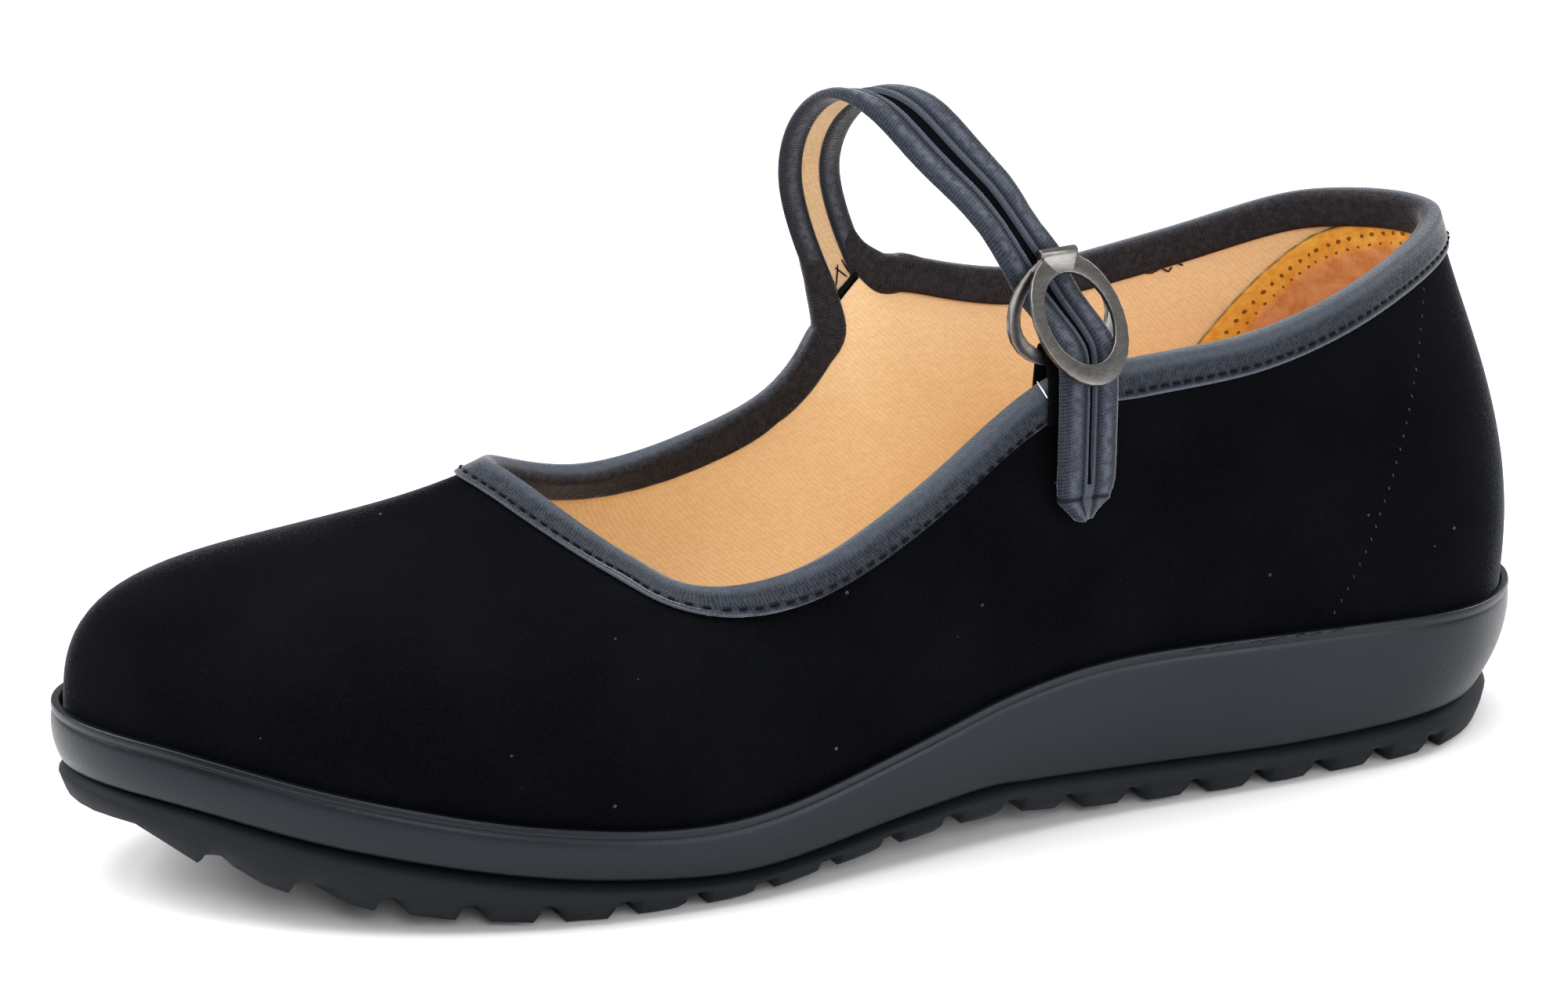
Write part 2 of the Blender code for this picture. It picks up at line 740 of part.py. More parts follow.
def make_keeper(material, collection):
    """Make the tape that holds the back ring: up the inside, over its bar and down the outside."""
    edge, along, out, up = buckle_frame()
    half = KEEPER_THICKNESS / 2
    stand = crown_height() + CLEARANCE + half
    bar_head = crown_height() + CLEARANCE + BACK_RING_BAR + keeper_rise() + CLEARANCE + half
    half_bar = RING_THICKNESS / 2 + CLEARANCE + half
    rate = (topline(BUCKLE_TURN + 1) - topline(BUCKLE_TURN - 1)).length / 2
    over_bar = [
        (back_ring_plane(bar_head) - half_bar, bar_head - half),
        (back_ring_plane(bar_head) - half_bar / 2, bar_head + half),
        (back_ring_plane(bar_head) + half_bar / 2, bar_head + half),
        (back_ring_plane(bar_head) + half_bar, bar_head - half),
    ]
    points = []
    for share in (-0.5, 0.0, 0.5):
        place = share * KEEPER_WIDTH
        turn = BUCKLE_TURN - place / rate
        lift = up * crown_height()
        points += [taped_point(turn, KEEPER_LENGTH * down, -stand) for down in (1.0, 0.5)]
        points.append(taped_point(turn, 0, -stand) + lift)
        points += [edge + along * place + out * a + up * b for a, b in over_bar]
        points.append(taped_point(turn, 0, stand) + lift)
        points += [taped_point(turn, KEEPER_LENGTH * down, stand) for down in (0.5, 1.0)]
    rows = len(points) // 3
    made = mesh_object("buckle_keeper", points, ring_faces(3, rows, closed_round=False), material, collection)
    add_solidify(made, KEEPER_THICKNESS, 0)
    return made


def keeper_rise():
    """Give how much higher the back ring's bar is at the keeper's edges than in its middle."""
    half_width = (BACK_RING_WIDTH / 2 - BACK_RING_BAR) * (1 + BACK_RING_SAG)
    half_length = BACK_RING_LENGTH / 2 - BACK_RING_BAR
    share = min(KEEPER_WIDTH / 2 / half_width, 1)
    return half_length * (1 - math.sqrt(1 - share * share))


# The strap


def strap_section(width_share):
    """Give the strap's section, across and out: two raised bands, a groove between, and a flat back."""
    half = STRAP_WIDTH / 2
    shape = [
        (-1.00, 0.00, 0.0),
        (-0.94, 0.70, 0.0),
        (-0.60, 1.00, 0.0),
        (-0.22, 0.75, 0.0),
        (-0.12, 0.20, 0.0),
        (0.12, 0.20, 0.0),
        (0.22, 0.75, 0.0),
        (0.60, 1.00, 0.0),
        (0.94, 0.70, 0.0),
        (1.00, 0.00, 0.0),
        (0.92, 0.00, 1.0),
        (-0.92, 0.00, 1.0),
    ]
    return [(half * width_share * a, STRAP_BAND * b - STRAP_BACKING * c) for a, b, c in shape]


def strap_root():
    """Give the middle of the cut edge that the strap is sewn to, and the direction along that edge."""
    front = topline(STRAP_FRONT_TURN)
    rear = topline(STRAP_REAR_TURN)
    middle_turn = (STRAP_FRONT_TURN + STRAP_REAR_TURN) / 2
    inward = wall_normal(middle_turn, 0) * UPPER_WALL / 2
    return front.lerp(rear, 0.5) - inward, (rear - front).normalized()


def strap_knots():
    """Give the strap's centre line as knots: its loop, its way through the buckle, and its tail."""
    edge, along, out, up = buckle_frame()
    root = strap_root()[0]
    hinge_out, hinge_up = hinge_place()
    behind = hinge_out - RING_THICKNESS - STRAP_BAND - 2 * CLEARANCE
    toeward = -along if along.x > 0 else along
    entry = edge + out * behind + up * hinge_up + toeward * STRAP_SLANT
    knots = []
    for row in LOOP:
        point = root.lerp(entry, row.across)
        point.z = root.z + row.up * STRAP_RISE
        point.x -= row.forward * STRAP_RISE
        knots.append(point)
    knots.append(entry)
    pass_behind = RING_THICKNESS / 2 + CLEARANCE + STRAP_BAND
    bar_head = crown_height() + BACK_RING_BAR + KEEPER_THICKNESS + 3 * CLEARANCE
    high = hinge_up * 0.86
    low = hinge_up * 0.68
    through = [
        (high, back_ring_plane(high) - pass_behind * 1.30, -0.62),
        (low, back_ring_plane(low) - pass_behind * 1.15, -0.30),
        (mix(low, bar_head, 0.55), mix(back_ring_plane(low) - pass_behind, strap_out(), 0.50), 0.05),
        (bar_head, strap_out() - STRAP_BACKING, 0.30),
    ]
    for height, place_out, slant in through:
        knots.append(edge + out * place_out + up * height - toeward * STRAP_SLANT * slant)
    curve = wall_curve(BUCKLE_TURN)
    for share in (0.05, 0.35, 0.70, 1.0):
        drop = STRAP_TAIL * share
        stand = mix(strap_out(), STRAP_BACKING + 2 * CLEARANCE, share**3)
        knots.append(point_at(curve, drop) + wall_normal(BUCKLE_TURN, drop) * stand - toeward * STRAP_DRIFT)
    return knots


def curve_through(knots, count):
    """Give evenly spaced points on a smooth curve through knots."""
    places = [0.0]
    for a, b in zip(knots, knots[1:]):
        places.append(places[-1] + (b - a).length)
    points = []
    for i in range(count):
        place = places[-1] * i / (count - 1)
        points.append(Vector([smooth(places, [knot[axis] for knot in knots], place) for axis in range(3)]))
    return points


def strap_twist(share):
    """Give the strap's twist in degrees at a share of its length, square to the buckle from there on."""
    free_share = 0.62
    along = buckle_frame()[1]
    at_buckle = math.degrees(math.atan2(along.y, along.x))
    places = [0.0] + [row.across for row in LOOP] + [1.0]
    twists = [LOOP[0].twist] + [row.twist for row in LOOP] + [at_buckle]
    return smooth(places, twists, min(share / free_share, 1))


def make_strap(material, collection):
    """Make the instep strap, from the medial quarter over the instep and through the buckle."""
    root, root_along = strap_root()
    knots = strap_knots()
    rise = root_along.cross(wall_normal((STRAP_FRONT_TURN + STRAP_REAR_TURN) / 2, 0))
    if rise.z < 0:
        rise.negate()
    start = root + rise * (CLEARANCE * 2)
    line = curve_through([start] + knots, STRAP_STEPS)
    run_up = 5
    tip = STRAP_WIDTH * 0.36
    step = (line[-1] - line[-2]).length
    points = []
    for i, centre in enumerate(line):
        ahead = line[min(i + 1, len(line) - 1)]
        behind = line[max(i - 1, 0)]
        run = (ahead - behind).normalized()
        twist = math.radians(strap_twist(i / (len(line) - 1)))
        level = Vector((math.cos(twist), math.sin(twist), 0))
        if i == 0:
            run = rise
        width = root_along.lerp(level, min(i / run_up, 1))
        width = (width - run * width.dot(run)).normalized()
        normal = run.cross(width)
        left = (len(line) - 1 - i) * step
        share = mix(0.34, 1, math.sqrt(min(left / tip, 1)))
        for across, out in strap_section(share):
            points.append(centre + width * across + normal * out)
    count = len(strap_section(1))
    faces = ring_faces(len(line), count)
    faces.append(tuple(range(count)))
    faces.append(tuple(range((len(line) - 1) * count, len(line) * count)))
    return mesh_object("strap", points, faces, material, collection)


def centre_on_floor(parts):
    """Move the parts so that the origin lies under the middle of the shoe."""
    bpy.context.view_layer.update()
    graph = bpy.context.evaluated_depsgraph_get()
    corners = []
    for part in parts:
        seen = part.evaluated_get(graph)
        corners += [seen.matrix_world @ Vector(corner) for corner in seen.bound_box]
    middle = [(min(c[i] for c in corners) + max(c[i] for c in corners)) / 2 for i in range(2)]
    for made in bpy.data.objects:
        made.location.x -= middle[0]
        made.location.y -= middle[1]


def main():
    """Build the shoe."""
    clear_scene()
    shoe = new_collection("chinese_cloth_shoe")
    guides = new_collection("guides")
    rubber = new_material("sole_rubber", (0.020, 0.021, 0.024), 0.45)
    tread_rubber = new_material("tread_rubber", (0.012, 0.012, 0.014), 0.75)
    velvet = new_material("black_velvet", (0.004, 0.004, 0.006), 0.95)
    tape = new_material("binding_tape", (0.030, 0.036, 0.048), 0.80)
    strap_tape = new_material("strap_tape", (0.034, 0.040, 0.054), 0.80)
    twill = new_material("lining_twill", (0.80, 0.53, 0.27), 0.85)
    nickel = new_material("brushed_nickel", (0.46, 0.44, 0.40), 0.38, 1.0)
    parts = [
        make_outsole(tread_rubber, shoe),
        make_midsole(rubber, shoe),
        make_insole(twill, shoe),
        make_upper(velvet, shoe),
        make_binding(tape, shoe),
        make_strap(strap_tape, shoe),
        make_buckle(nickel, shoe, guides),
        make_keeper(strap_tape, shoe),
    ]
    centre_on_floor(parts)


main()
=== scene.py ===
# %% [markdown]
# A black cloth shoe, dressed for its photograph
#
# The frame holds the shoe's solids at their real size: tread, wedge, insole, upper, edge tape, strap,
# buckle and keeper. This lesson gives each of them the surface of the real shoe: velvet outside, twill
# inside, a ribbed tape with its stitches, a bound strap, brushed nickel and moulded rubber. Nothing is
# moved or resized: finer meshes grow from the solids, and small pieces are laid on them.

# %% Load the frame
import bisect
import math
import random

import bmesh
import bpy
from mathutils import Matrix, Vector
from mathutils.bvhtree import BVHTree
from mathutils.kdtree import KDTree


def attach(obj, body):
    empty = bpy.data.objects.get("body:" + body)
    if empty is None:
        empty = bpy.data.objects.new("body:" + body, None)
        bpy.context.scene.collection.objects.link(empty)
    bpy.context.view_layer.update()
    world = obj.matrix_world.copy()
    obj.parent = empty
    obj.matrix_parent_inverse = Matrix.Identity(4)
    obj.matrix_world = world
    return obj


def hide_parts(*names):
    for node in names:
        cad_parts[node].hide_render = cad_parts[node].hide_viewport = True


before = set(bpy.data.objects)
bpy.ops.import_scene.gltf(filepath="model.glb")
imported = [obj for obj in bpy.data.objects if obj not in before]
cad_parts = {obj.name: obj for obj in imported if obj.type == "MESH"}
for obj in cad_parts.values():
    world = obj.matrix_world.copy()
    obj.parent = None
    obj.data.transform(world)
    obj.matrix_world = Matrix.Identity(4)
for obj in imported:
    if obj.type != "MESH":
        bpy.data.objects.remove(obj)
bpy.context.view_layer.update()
MM = 0.001
print("solids:", sorted(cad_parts))

# %% [markdown]
# Camera and light
#
# The photograph looks at the lateral side from a little in front and above, through a long lens. A camera
# could be tracked to an empty, but here its place is worked out once from an azimuth, an elevation and a
# distance, because those three numbers are what one turns to match a picture. Five soft boxes stand round
# the shoe as in a small product studio: a wide one overhead, and one each for the front, the arch, the toe
# and the heel.

# %% Camera
AZIMUTH = math.radians(-23.812)
ELEVATION = math.radians(16.666)
DISTANCE = 0.900
LOOK_AT = Vector((0.00566, 0.027455, 0.040))
LENS = 126.8
SENSOR_WIDTH = 36

back = Vector((
    math.sin(AZIMUTH) * math.cos(ELEVATION),
    -math.cos(AZIMUTH) * math.cos(ELEVATION),
    math.sin(ELEVATION),
))
camera = bpy.data.objects.new("camera", bpy.data.cameras.new("camera"))
bpy.context.scene.collection.objects.link(camera)
camera.location = LOOK_AT + back * DISTANCE
camera.rotation_euler = (-back).to_track_quat("-Z", "Y").to_euler()
camera.data.lens = LENS
camera.data.sensor_width = SENSOR_WIDTH
bpy.context.scene.camera = camera
print("camera at", [round(c, 3) for c in camera.location])

# %% Lights and world
SHOE_MIDDLE = Vector((0, 0, 0.04))
WORLD_LIGHT = 0.5


def soft_light(name, place, size, power):
    """Hang a square soft box that faces the shoe."""
    light = bpy.data.lights.new(name, "AREA")
    light.shape = "SQUARE"
    light.size = size
    light.energy = power
    lamp = bpy.data.objects.new(name, light)
    bpy.context.scene.collection.objects.link(lamp)
    lamp.location = place
    lamp.rotation_euler = (SHOE_MIDDLE - lamp.location).to_track_quat("-Z", "Y").to_euler()


for box in (
    ("top_box", (-0.10, 0.05, 1.30), 1.3, 21), ("front_box", (-0.30, -1.25, 0.75), 0.6, 6),
    ("arch_box", (0.75, -1.15, 0.45), 0.6, 7), ("toe_box", (-1.05, 0.45, 0.85), 0.8, 17),
    ("heel_box", (1.30, 0.45, 0.75), 0.6, 8),
):
    soft_light(*box)

world = bpy.data.worlds.new("studio")
bpy.context.scene.world = world
world.use_nodes = True
sky = world.node_tree.nodes["Background"]
sky.inputs["Color"].default_value = (1.0, 1.0, 1.0, 1.0)
sky.inputs["Strength"].default_value = WORLD_LIGHT
bpy.context.scene.view_settings.view_transform = "Standard"

# %% [markdown]
# Shader maths as Python
#
# Every finish here varies a little over its surface. The node editor could wire that up by hand, and long
# Math chains get hard to read, so a small class wraps a socket: adding or multiplying two wrapped sockets
# adds the Math node for it. Other nodes all come from one method, which sets the node's options first and
# then its sockets.

# %% Sockets that add up


def operator(operation, turned=False):
    """Make an operator that adds a Math node, with its two sides swapped if it is turned."""
    if turned:
        return lambda self, other: self.math(operation, other, self)
    return lambda self, other: self.math(operation, self, other)


class Link:
    """An output socket that works in expressions such as 1 - mask or ribs * 0.4."""

    __add__, __radd__ = operator("ADD"), operator("ADD", True)
    __sub__, __rsub__ = operator("SUBTRACT"), operator("SUBTRACT", True)
    __mul__, __rmul__ = operator("MULTIPLY"), operator("MULTIPLY", True)
    __truediv__, __rtruediv__ = operator("DIVIDE"), operator("DIVIDE", True)
    __lt__, __gt__ = operator("LESS_THAN"), operator("GREATER_THAN")
    larger = operator("MAXIMUM")

    def __init__(self, finish, socket):
        self.finish = finish
        self.socket = socket

    def math(self, operation, *values):
        return self.finish.node("ShaderNodeMath", {"operation": operation}, dict(enumerate(values)))

    def sine(self):
        return self.math("SINE", self)

    def root(self):
        return self.math("SQRT", self)

    def absolute(self):
        return self.math("ABSOLUTE", self)

    def wrapped(self, pitch):
        """Repeat from 0 to 1 every pitch."""
        return self.math("FRACT", self / pitch)

    def ramp(self, low, high):
        """Go smoothly from 0 at low to 1 at high."""
        inputs = {"Value": self, "From Min": low, "From Max": high}
        return self.finish.node("ShaderNodeMapRange", {"interpolation_type": "SMOOTHSTEP"}, inputs)


# %% A finish and its nodes
# The Mix node has sockets of one name for each kind of value. These are the ones that its colours use.
MIX_SHARE, MIX_LOW, MIX_HIGH, MIX_COLOUR = 0, 6, 7, 2


class Finish:
    """A material that is built up in expressions."""

    def __init__(self, name, roughness, metallic=0.0, **fixed):
        print("finish:", name)
        self.material = bpy.data.materials.new(name)
        self.material.use_nodes = True
        self.tree = self.material.node_tree
        self.shader = self.tree.nodes["Principled BSDF"]
        self.shader.inputs["Roughness"].default_value = roughness
        self.shader.inputs["Metallic"].default_value = metallic
        for socket, value in fixed.items():
            self.shader.inputs[socket.replace("_", " ")].default_value = value
        self.place = self.node("ShaderNodeTexCoord", output="Object")

    def node(self, kind, settings=None, inputs=None, output=0):
        """Add any node: its settings first, then its sockets."""
        made = self.tree.nodes.new(kind)
        for setting, value in (settings or {}).items():
            setattr(made, setting, value)
        for socket, value in (inputs or {}).items():
            self.fill(made.inputs[socket], value)
        return Link(self, made.outputs[output])

    def fill(self, socket, value):
        """Lead a link into a socket, or set it to a constant."""
        if isinstance(value, Link):
            self.tree.links.new(value.socket, socket)
        else:
            socket.default_value = value

    def noise(self, size, detail=2.0, rough=0.5, place=None):
        """Noise whose blobs are about as wide as size, in metres."""
        inputs = {"Vector": place or self.place, "Scale": 1 / size, "Detail": detail, "Roughness": rough}
        return self.node("ShaderNodeTexNoise", None, inputs, "Fac")

    def cells(self, size):
        """The distance to the nearest of scattered points about size apart."""
        return self.node("ShaderNodeTexVoronoi", None, {"Vector": self.place, "Scale": 1 / size}, "Distance")

    def stretched(self, *scale):
        """The place with each axis scaled, to draw a noise out along one of them."""
        return self.node("ShaderNodeVectorMath", {"operation": "MULTIPLY"}, {0: self.place, 1: scale})

    def along(self, *way):
        """How far a place lies along a direction."""
        inputs = {0: self.place, 1: way}
        return self.node("ShaderNodeVectorMath", {"operation": "DOT_PRODUCT"}, inputs, "Value")

    def measured(self, name):
        """A number that the mesh holds at each corner."""
        return self.node("ShaderNodeAttribute", {"attribute_name": name}, None, "Fac")

    def blend(self, share, low, high):
        """Mix two colours."""
        inputs = {MIX_SHARE: share, MIX_LOW: low, MIX_HIGH: high}
        return self.node("ShaderNodeMix", {"data_type": "RGBA"}, inputs, MIX_COLOUR)

    def colour(self, value, *coats):
        """Give the finish its colour, with coats laid over it, each a share and a colour."""
        for share, coat in coats:
            value = self.blend(share, value, coat)
        self.feed("Base Color", value)

    def feed(self, socket, value):
        """Give a value to one of the shader's sockets."""
        self.fill(self.shader.inputs[socket], value)

    def bump(self, height, depth):
        """Raise the surface by a height from 0 to 1, at most by depth in metres."""
        inputs = {"Height": height, "Distance": depth, "Strength": 1.0}
        self.feed("Normal", self.node("ShaderNodeBump", None, inputs, "Normal"))


def rgb(red, green, blue):
    """A colour from 0 to 255 a channel, as the picture shows it, made linear."""
    def linear(value):
        value /= 255
        return value / 12.92 if value <= 0.04045 else ((value + 0.055) / 1.055) ** 2.4

    return (linear(red), linear(green), linear(blue), 1.0)


# %% [markdown]
# Floor
#
# The photograph stands on a white sweep with a soft shadow. A plane that takes the light is enough: a
# shadow catcher would need compositing, and the shoe would lose the light that the floor throws back at the
# sole.

# %% Floor
FLOOR_SIZE = 8
FLOOR_DROP = 0.2 * MM

floor_finish = Finish("studio_floor", 0.6, Specular_IOR_Level=0.2)
floor_finish.colour(rgb(247, 247, 248))
bpy.ops.mesh.primitive_plane_add(size=FLOOR_SIZE, location=(0, 0, -FLOOR_DROP))
floor = bpy.context.object
floor.name = "studio_floor"
floor.data.materials.append(floor_finish.material)
print("floor is", FLOOR_SIZE, "m wide")

# %% [markdown]
# Reading the solids back
#
# The solids come in as triangles, and a velvet surface needs an even, smooth mesh. A remesh would blur the
# edges, so the triangles are joined back into quads and smoothed with Catmull-Clark subdivision, and edges
# that fold sharply are creased to keep them. Small pieces find their place by the solids as well: a path is
# read from a sharp edge of a solid, and points are laid on its faces.

# %% Helpers that read a solid
SAME_CORNER = 0.002 * MM
FLAT_ENOUGH = math.radians(35)
SQUARE_ENOUGH = math.radians(85)


def read_solid(node):
    """Copy a solid with its corners joined and its triangles paired into quads."""
    work = bmesh.new()
    work.from_mesh(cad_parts[node].data)
    bmesh.ops.remove_doubles(work, verts=work.verts, dist=SAME_CORNER)
    bmesh.ops.join_triangles(
        work, faces=work.faces, angle_face_threshold=FLAT_ENOUGH, angle_shape_threshold=SQUARE_ENOUGH
    )
    bmesh.ops.recalc_face_normals(work, faces=work.faces)
    return work


def patches(work, fold):
    """Split a solid's faces where it folds by more than an angle, largest area first."""
    left = set(work.faces)
    found = []
    for seed in work.faces:
        if seed not in left:
            continue
        left.remove(seed)
        group = [seed]
        for face in group:
            for edge in face.edges:
                if edge.calc_face_angle(0) > fold:
                    continue
                for other in edge.link_faces:
                    if other in left:
                        left.remove(other)
                        group.append(other)
        found.append(group)
    return sorted(found, key=lambda group: -sum(face.calc_area() for face in group))


# %% Helpers that make a piece


def linked(name, mesh, body="root"):
    """Make an object that rides on the frame."""
    piece = bpy.data.objects.new(name, mesh)
    bpy.context.scene.collection.objects.link(piece)
    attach(piece, body)
    return piece


def subdivided(piece, levels):
    """Apply Catmull-Clark subdivision to a piece."""
    smooth = piece.modifiers.new("smooth", "SUBSURF")
    smooth.levels = levels
    smooth.render_levels = levels
    bpy.context.view_layer.update()
    fine = bpy.data.meshes.new_from_object(piece.evaluated_get(bpy.context.evaluated_depsgraph_get()))
    piece.modifiers.remove(smooth)
    piece.data = fine
    fine.shade_smooth()
    return piece


def finer(name, node, levels, fold, crease, finishes, prepare=None):
    """Make a smooth copy of a solid, creased where it folds, that wears the finishes."""
    work = read_solid(node)
    layer = work.edges.layers.float.new("crease_edge")
    for edge in work.edges:
        if edge.calc_face_angle(0) > fold:
            edge[layer] = crease
    if prepare:
        prepare(work)
    mesh = bpy.data.meshes.new(name)
    work.to_mesh(mesh)
    work.free()
    for finish in finishes:
        mesh.materials.append(finish.material)
    piece = subdivided(linked(name, mesh), levels)
    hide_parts(node)
    print(name, "has", len(piece.data.polygons), "faces")
    return piece


def mesh_piece(name, points, faces, finish):
    """Make a piece from points and faces."""
    mesh = bpy.data.meshes.new(name)
    mesh.from_pydata([tuple(point) for point in points], [], faces)
    work = bmesh.new()
    work.from_mesh(mesh)
    bmesh.ops.recalc_face_normals(work, faces=work.faces)
    work.to_mesh(mesh)
    work.free()
    mesh.materials.append(finish.material)
    mesh.shade_smooth()
    return linked(name, mesh)


def tube_faces(rings, sides, first=0):
    """Give the faces between rings of points, with a cap at each end, from the number of the first point."""
    faces = []
    for ring in range(rings - 1):
        for j in range(sides):
            a = first + ring * sides + j
            b = first + ring * sides + (j + 1) % sides
            faces.append((a, b, b + sides, a + sides))
    last = first + (rings - 1) * sides
    return faces + [tuple(range(first, first + sides)), tuple(range(last, last + sides))]


def hold(piece, names, rows):
    """Store a row of numbers on each point of a piece, where a finish can measure them."""
    for name, column in zip(names, zip(*rows)):
        piece.data.attributes.new(name, "FLOAT", "POINT").data.foreach_set("value", column)


# %% A path that can be walked


def clamped(value, low=0, high=1):
    return min(max(value, low), high)


def between(marks, place):
    """The number of the last mark before a place, and the share of the way from it to the next mark."""
    i = clamped(bisect.bisect_right(marks, place + 1e-9) - 1, 0, len(marks) - 2)
    return i, min((place - marks[i]) / max(marks[i + 1] - marks[i], 1e-9), 1)


class Path:
    """A smooth line through points, walked by its length."""

    def __init__(self, points, closed=False, fine=12):
        count = len(points)
        self.closed = closed
        self.fine = fine
        dense = []
        for i in range(count if closed else count - 1):
            a, b, c, d = (points[self.index(i + step, count)] for step in (-1, 0, 1, 2))
            slope, bend, twist = c - a, a * 2 - b * 5 + c * 4 - d, b * 3 - a - c * 3 + d
            for j in range(fine):
                t = j / fine
                dense.append(b + slope * t / 2 + bend * t * t / 2 + twist * t**3 / 2)
        dense.append(points[0 if closed else -1].copy())
        self.points = dense
        self.places = [0.0]
        for a, b in zip(dense, dense[1:]):
            self.places.append(self.places[-1] + (b - a).length)
        self.length = self.places[-1]
        self.tree = KDTree(len(dense))
        for i, point in enumerate(dense[:-1] if closed else dense):
            self.tree.insert(point, i)
        self.tree.balance()

    def index(self, i, count):
        return i % count if self.closed else clamped(i, 0, count - 1)

    def at(self, place):
        """The point at a distance along the path."""
        place = place % self.length if self.closed else clamped(place, 0, self.length)
        i, share = between(self.places, place)
        return self.points[i].lerp(self.points[i + 1], share)

    def run(self, place, step=0.5 * MM):
        """The direction of the path at a distance."""
        return (self.at(place + step) - self.at(place - step)).normalized()

    def nearest(self, point):
        """The distance along the path of its point nearest to a point."""
        _, i, gap = self.tree.find(point)
        return self.places[i], gap


# %% Read the topline and the walls of the upper
SHARP = math.radians(55)
HEEL_TOP = Vector((0.12, 0, 0.08))

upper_work = read_solid("upper")
outer_wall, inner_wall = patches(upper_work, SHARP)[:2]


def border_loops(faces):
    """Walk the closed borders of a group of faces."""
    inside = set(faces)
    border = [e for face in faces for e in face.edges if sum(f in inside for f in e.link_faces) == 1]
    ways = {}
    for edge in border:
        a, b = edge.verts
        ways.setdefault(a, []).append(b)
        ways.setdefault(b, []).append(a)
    loops = []
    while ways:
        start = next(iter(ways))
        loop = [start]
        here = ways[start][0]
        before = start
        while here is not start:
            loop.append(here)
            after = [v for v in ways[here] if v is not before]
            before, here = here, after[0]
        for vertex in loop:
            del ways[vertex]
        loops.append([vertex.co.copy() for vertex in loop])
    return loops


def mean_height(loop):
    return sum(point.z for point in loop) / len(loop)


def wall_tree(faces):
    """Make a tree of one wall, to lay points on it."""
    corners = {}
    polygons = [[corners.setdefault(v, len(corners)) for v in face.verts] for face in faces]
    return BVHTree.FromPolygons([v.co.copy() for v in corners], polygons)


def from_the_heel(loop):
    """Turn a loop so that it starts at the back of the heel and runs along the lateral side first."""
    start = loop.index(max(loop, key=lambda point: point.x))
    loop = loop[start:] + loop[:start]
    if loop[len(loop) // 4].y > 0:
        loop = loop[:1] + loop[:0:-1]
    return loop


topline = Path(from_the_heel(max(border_loops(outer_wall), key=mean_height)), closed=True)
outside = wall_tree(outer_wall)
inside = wall_tree(inner_wall)
heel_place, _ = topline.nearest(HEEL_TOP)
print("topline is", round(topline.length / MM), "mm round")

# %% [markdown]
# Velvet and twill
#
# The upper is cotton velvet glued to a tan twill lining. Velvet is nearly black because its pile swallows
# light, and it glows only where one looks along the pile, at the outline. Hair particles could grow that
# pile, but they would be lost in any export, so the glow is a sheen and the pile is a fine bump. The
# twill's diagonal lines come from one repeating wave, drawn across a direction that leans on every wall.

# %% Cloth finishes
FULL_TURN = 2 * math.pi
VELVET_PILE = 0.35 * MM
TWILL_PITCH = 0.62 * MM

velvet = Finish(
    "black_velvet", 0.95, Sheen_Weight=0.62, Sheen_Roughness=0.13, Sheen_Tint=rgb(196, 202, 214),
    Specular_IOR_Level=0.03,
)
pile = velvet.noise(VELVET_PILE, 3)
brushed = velvet.noise(22 * MM, 3)
lint = (velvet.cells(6.5 * MM) < 0.045) * velvet.noise(3 * MM).ramp(0.44, 0.56)
shade = brushed.ramp(0.35, 0.7) * 0.5 + pile.ramp(0.35, 0.65) * 0.5
velvet_dark = velvet.blend(shade, rgb(3, 3, 5), rgb(9, 10, 13))
velvet.colour(velvet_dark, (lint * 0.55, rgb(96, 96, 100)))
velvet.bump(pile, 0.12 * MM)


def twill_finish(name, light, dark):
    """A cotton twill: diagonal ribs, broken up by the yarns."""
    cloth = Finish(name, 0.85, Sheen_Weight=0.12, Specular_IOR_Level=0.2)
    slant = cloth.along(0.62, 0.47, 0.63)
    yarn = cloth.noise(0.6 * MM, 3, 0.6, cloth.stretched(0.45, 0.6, 1.0))
    waver = cloth.noise(2.2 * MM, 2)
    ribs = (slant * (FULL_TURN / TWILL_PITCH) + yarn * 4.5 + waver * 9.0).sine() * 0.5 + 0.5
    worn = cloth.noise(16 * MM, 3)
    shade = ribs * 0.25 + yarn.ramp(0.3, 0.7) * 0.5 + worn.ramp(0.3, 0.7) * 0.25
    cloth.colour(cloth.blend(shade, dark, light))
    cloth.bump(ribs * 0.5 + yarn * 0.5, 0.07 * MM)
    return cloth


twill = twill_finish("lining_twill", rgb(238, 209, 167), rgb(224, 189, 141))
# The strap's lining is the same twill painted darker, as the shade on the strap's back.
shaded_strap_twill = twill_finish("strap_lining_shaded", rgb(206, 180, 146), rgb(188, 158, 120))

# %% Upper


def line_the_inside(work):
    """Give the inner wall of the upper the second material."""
    for face in patches(work, SHARP)[1]:
        face.material_index = 1


upper = finer("velvet_upper", "upper", 2, SHARP, 0.9, [velvet, twill], line_the_inside)

# %% [markdown]
# Creases of the upper
#
# Velvet on a glued lining is stiff, so a shoe that stands empty shows only a few soft folds: where the toes
# bend and where the strap pulls. A cloth simulation would wrinkle the whole shell, and it would have to be
# held on its last to keep the fit. Here each fold is a soft trough or ridge between two points, which stays
# where it is put, and the tape and the lip keep their places.

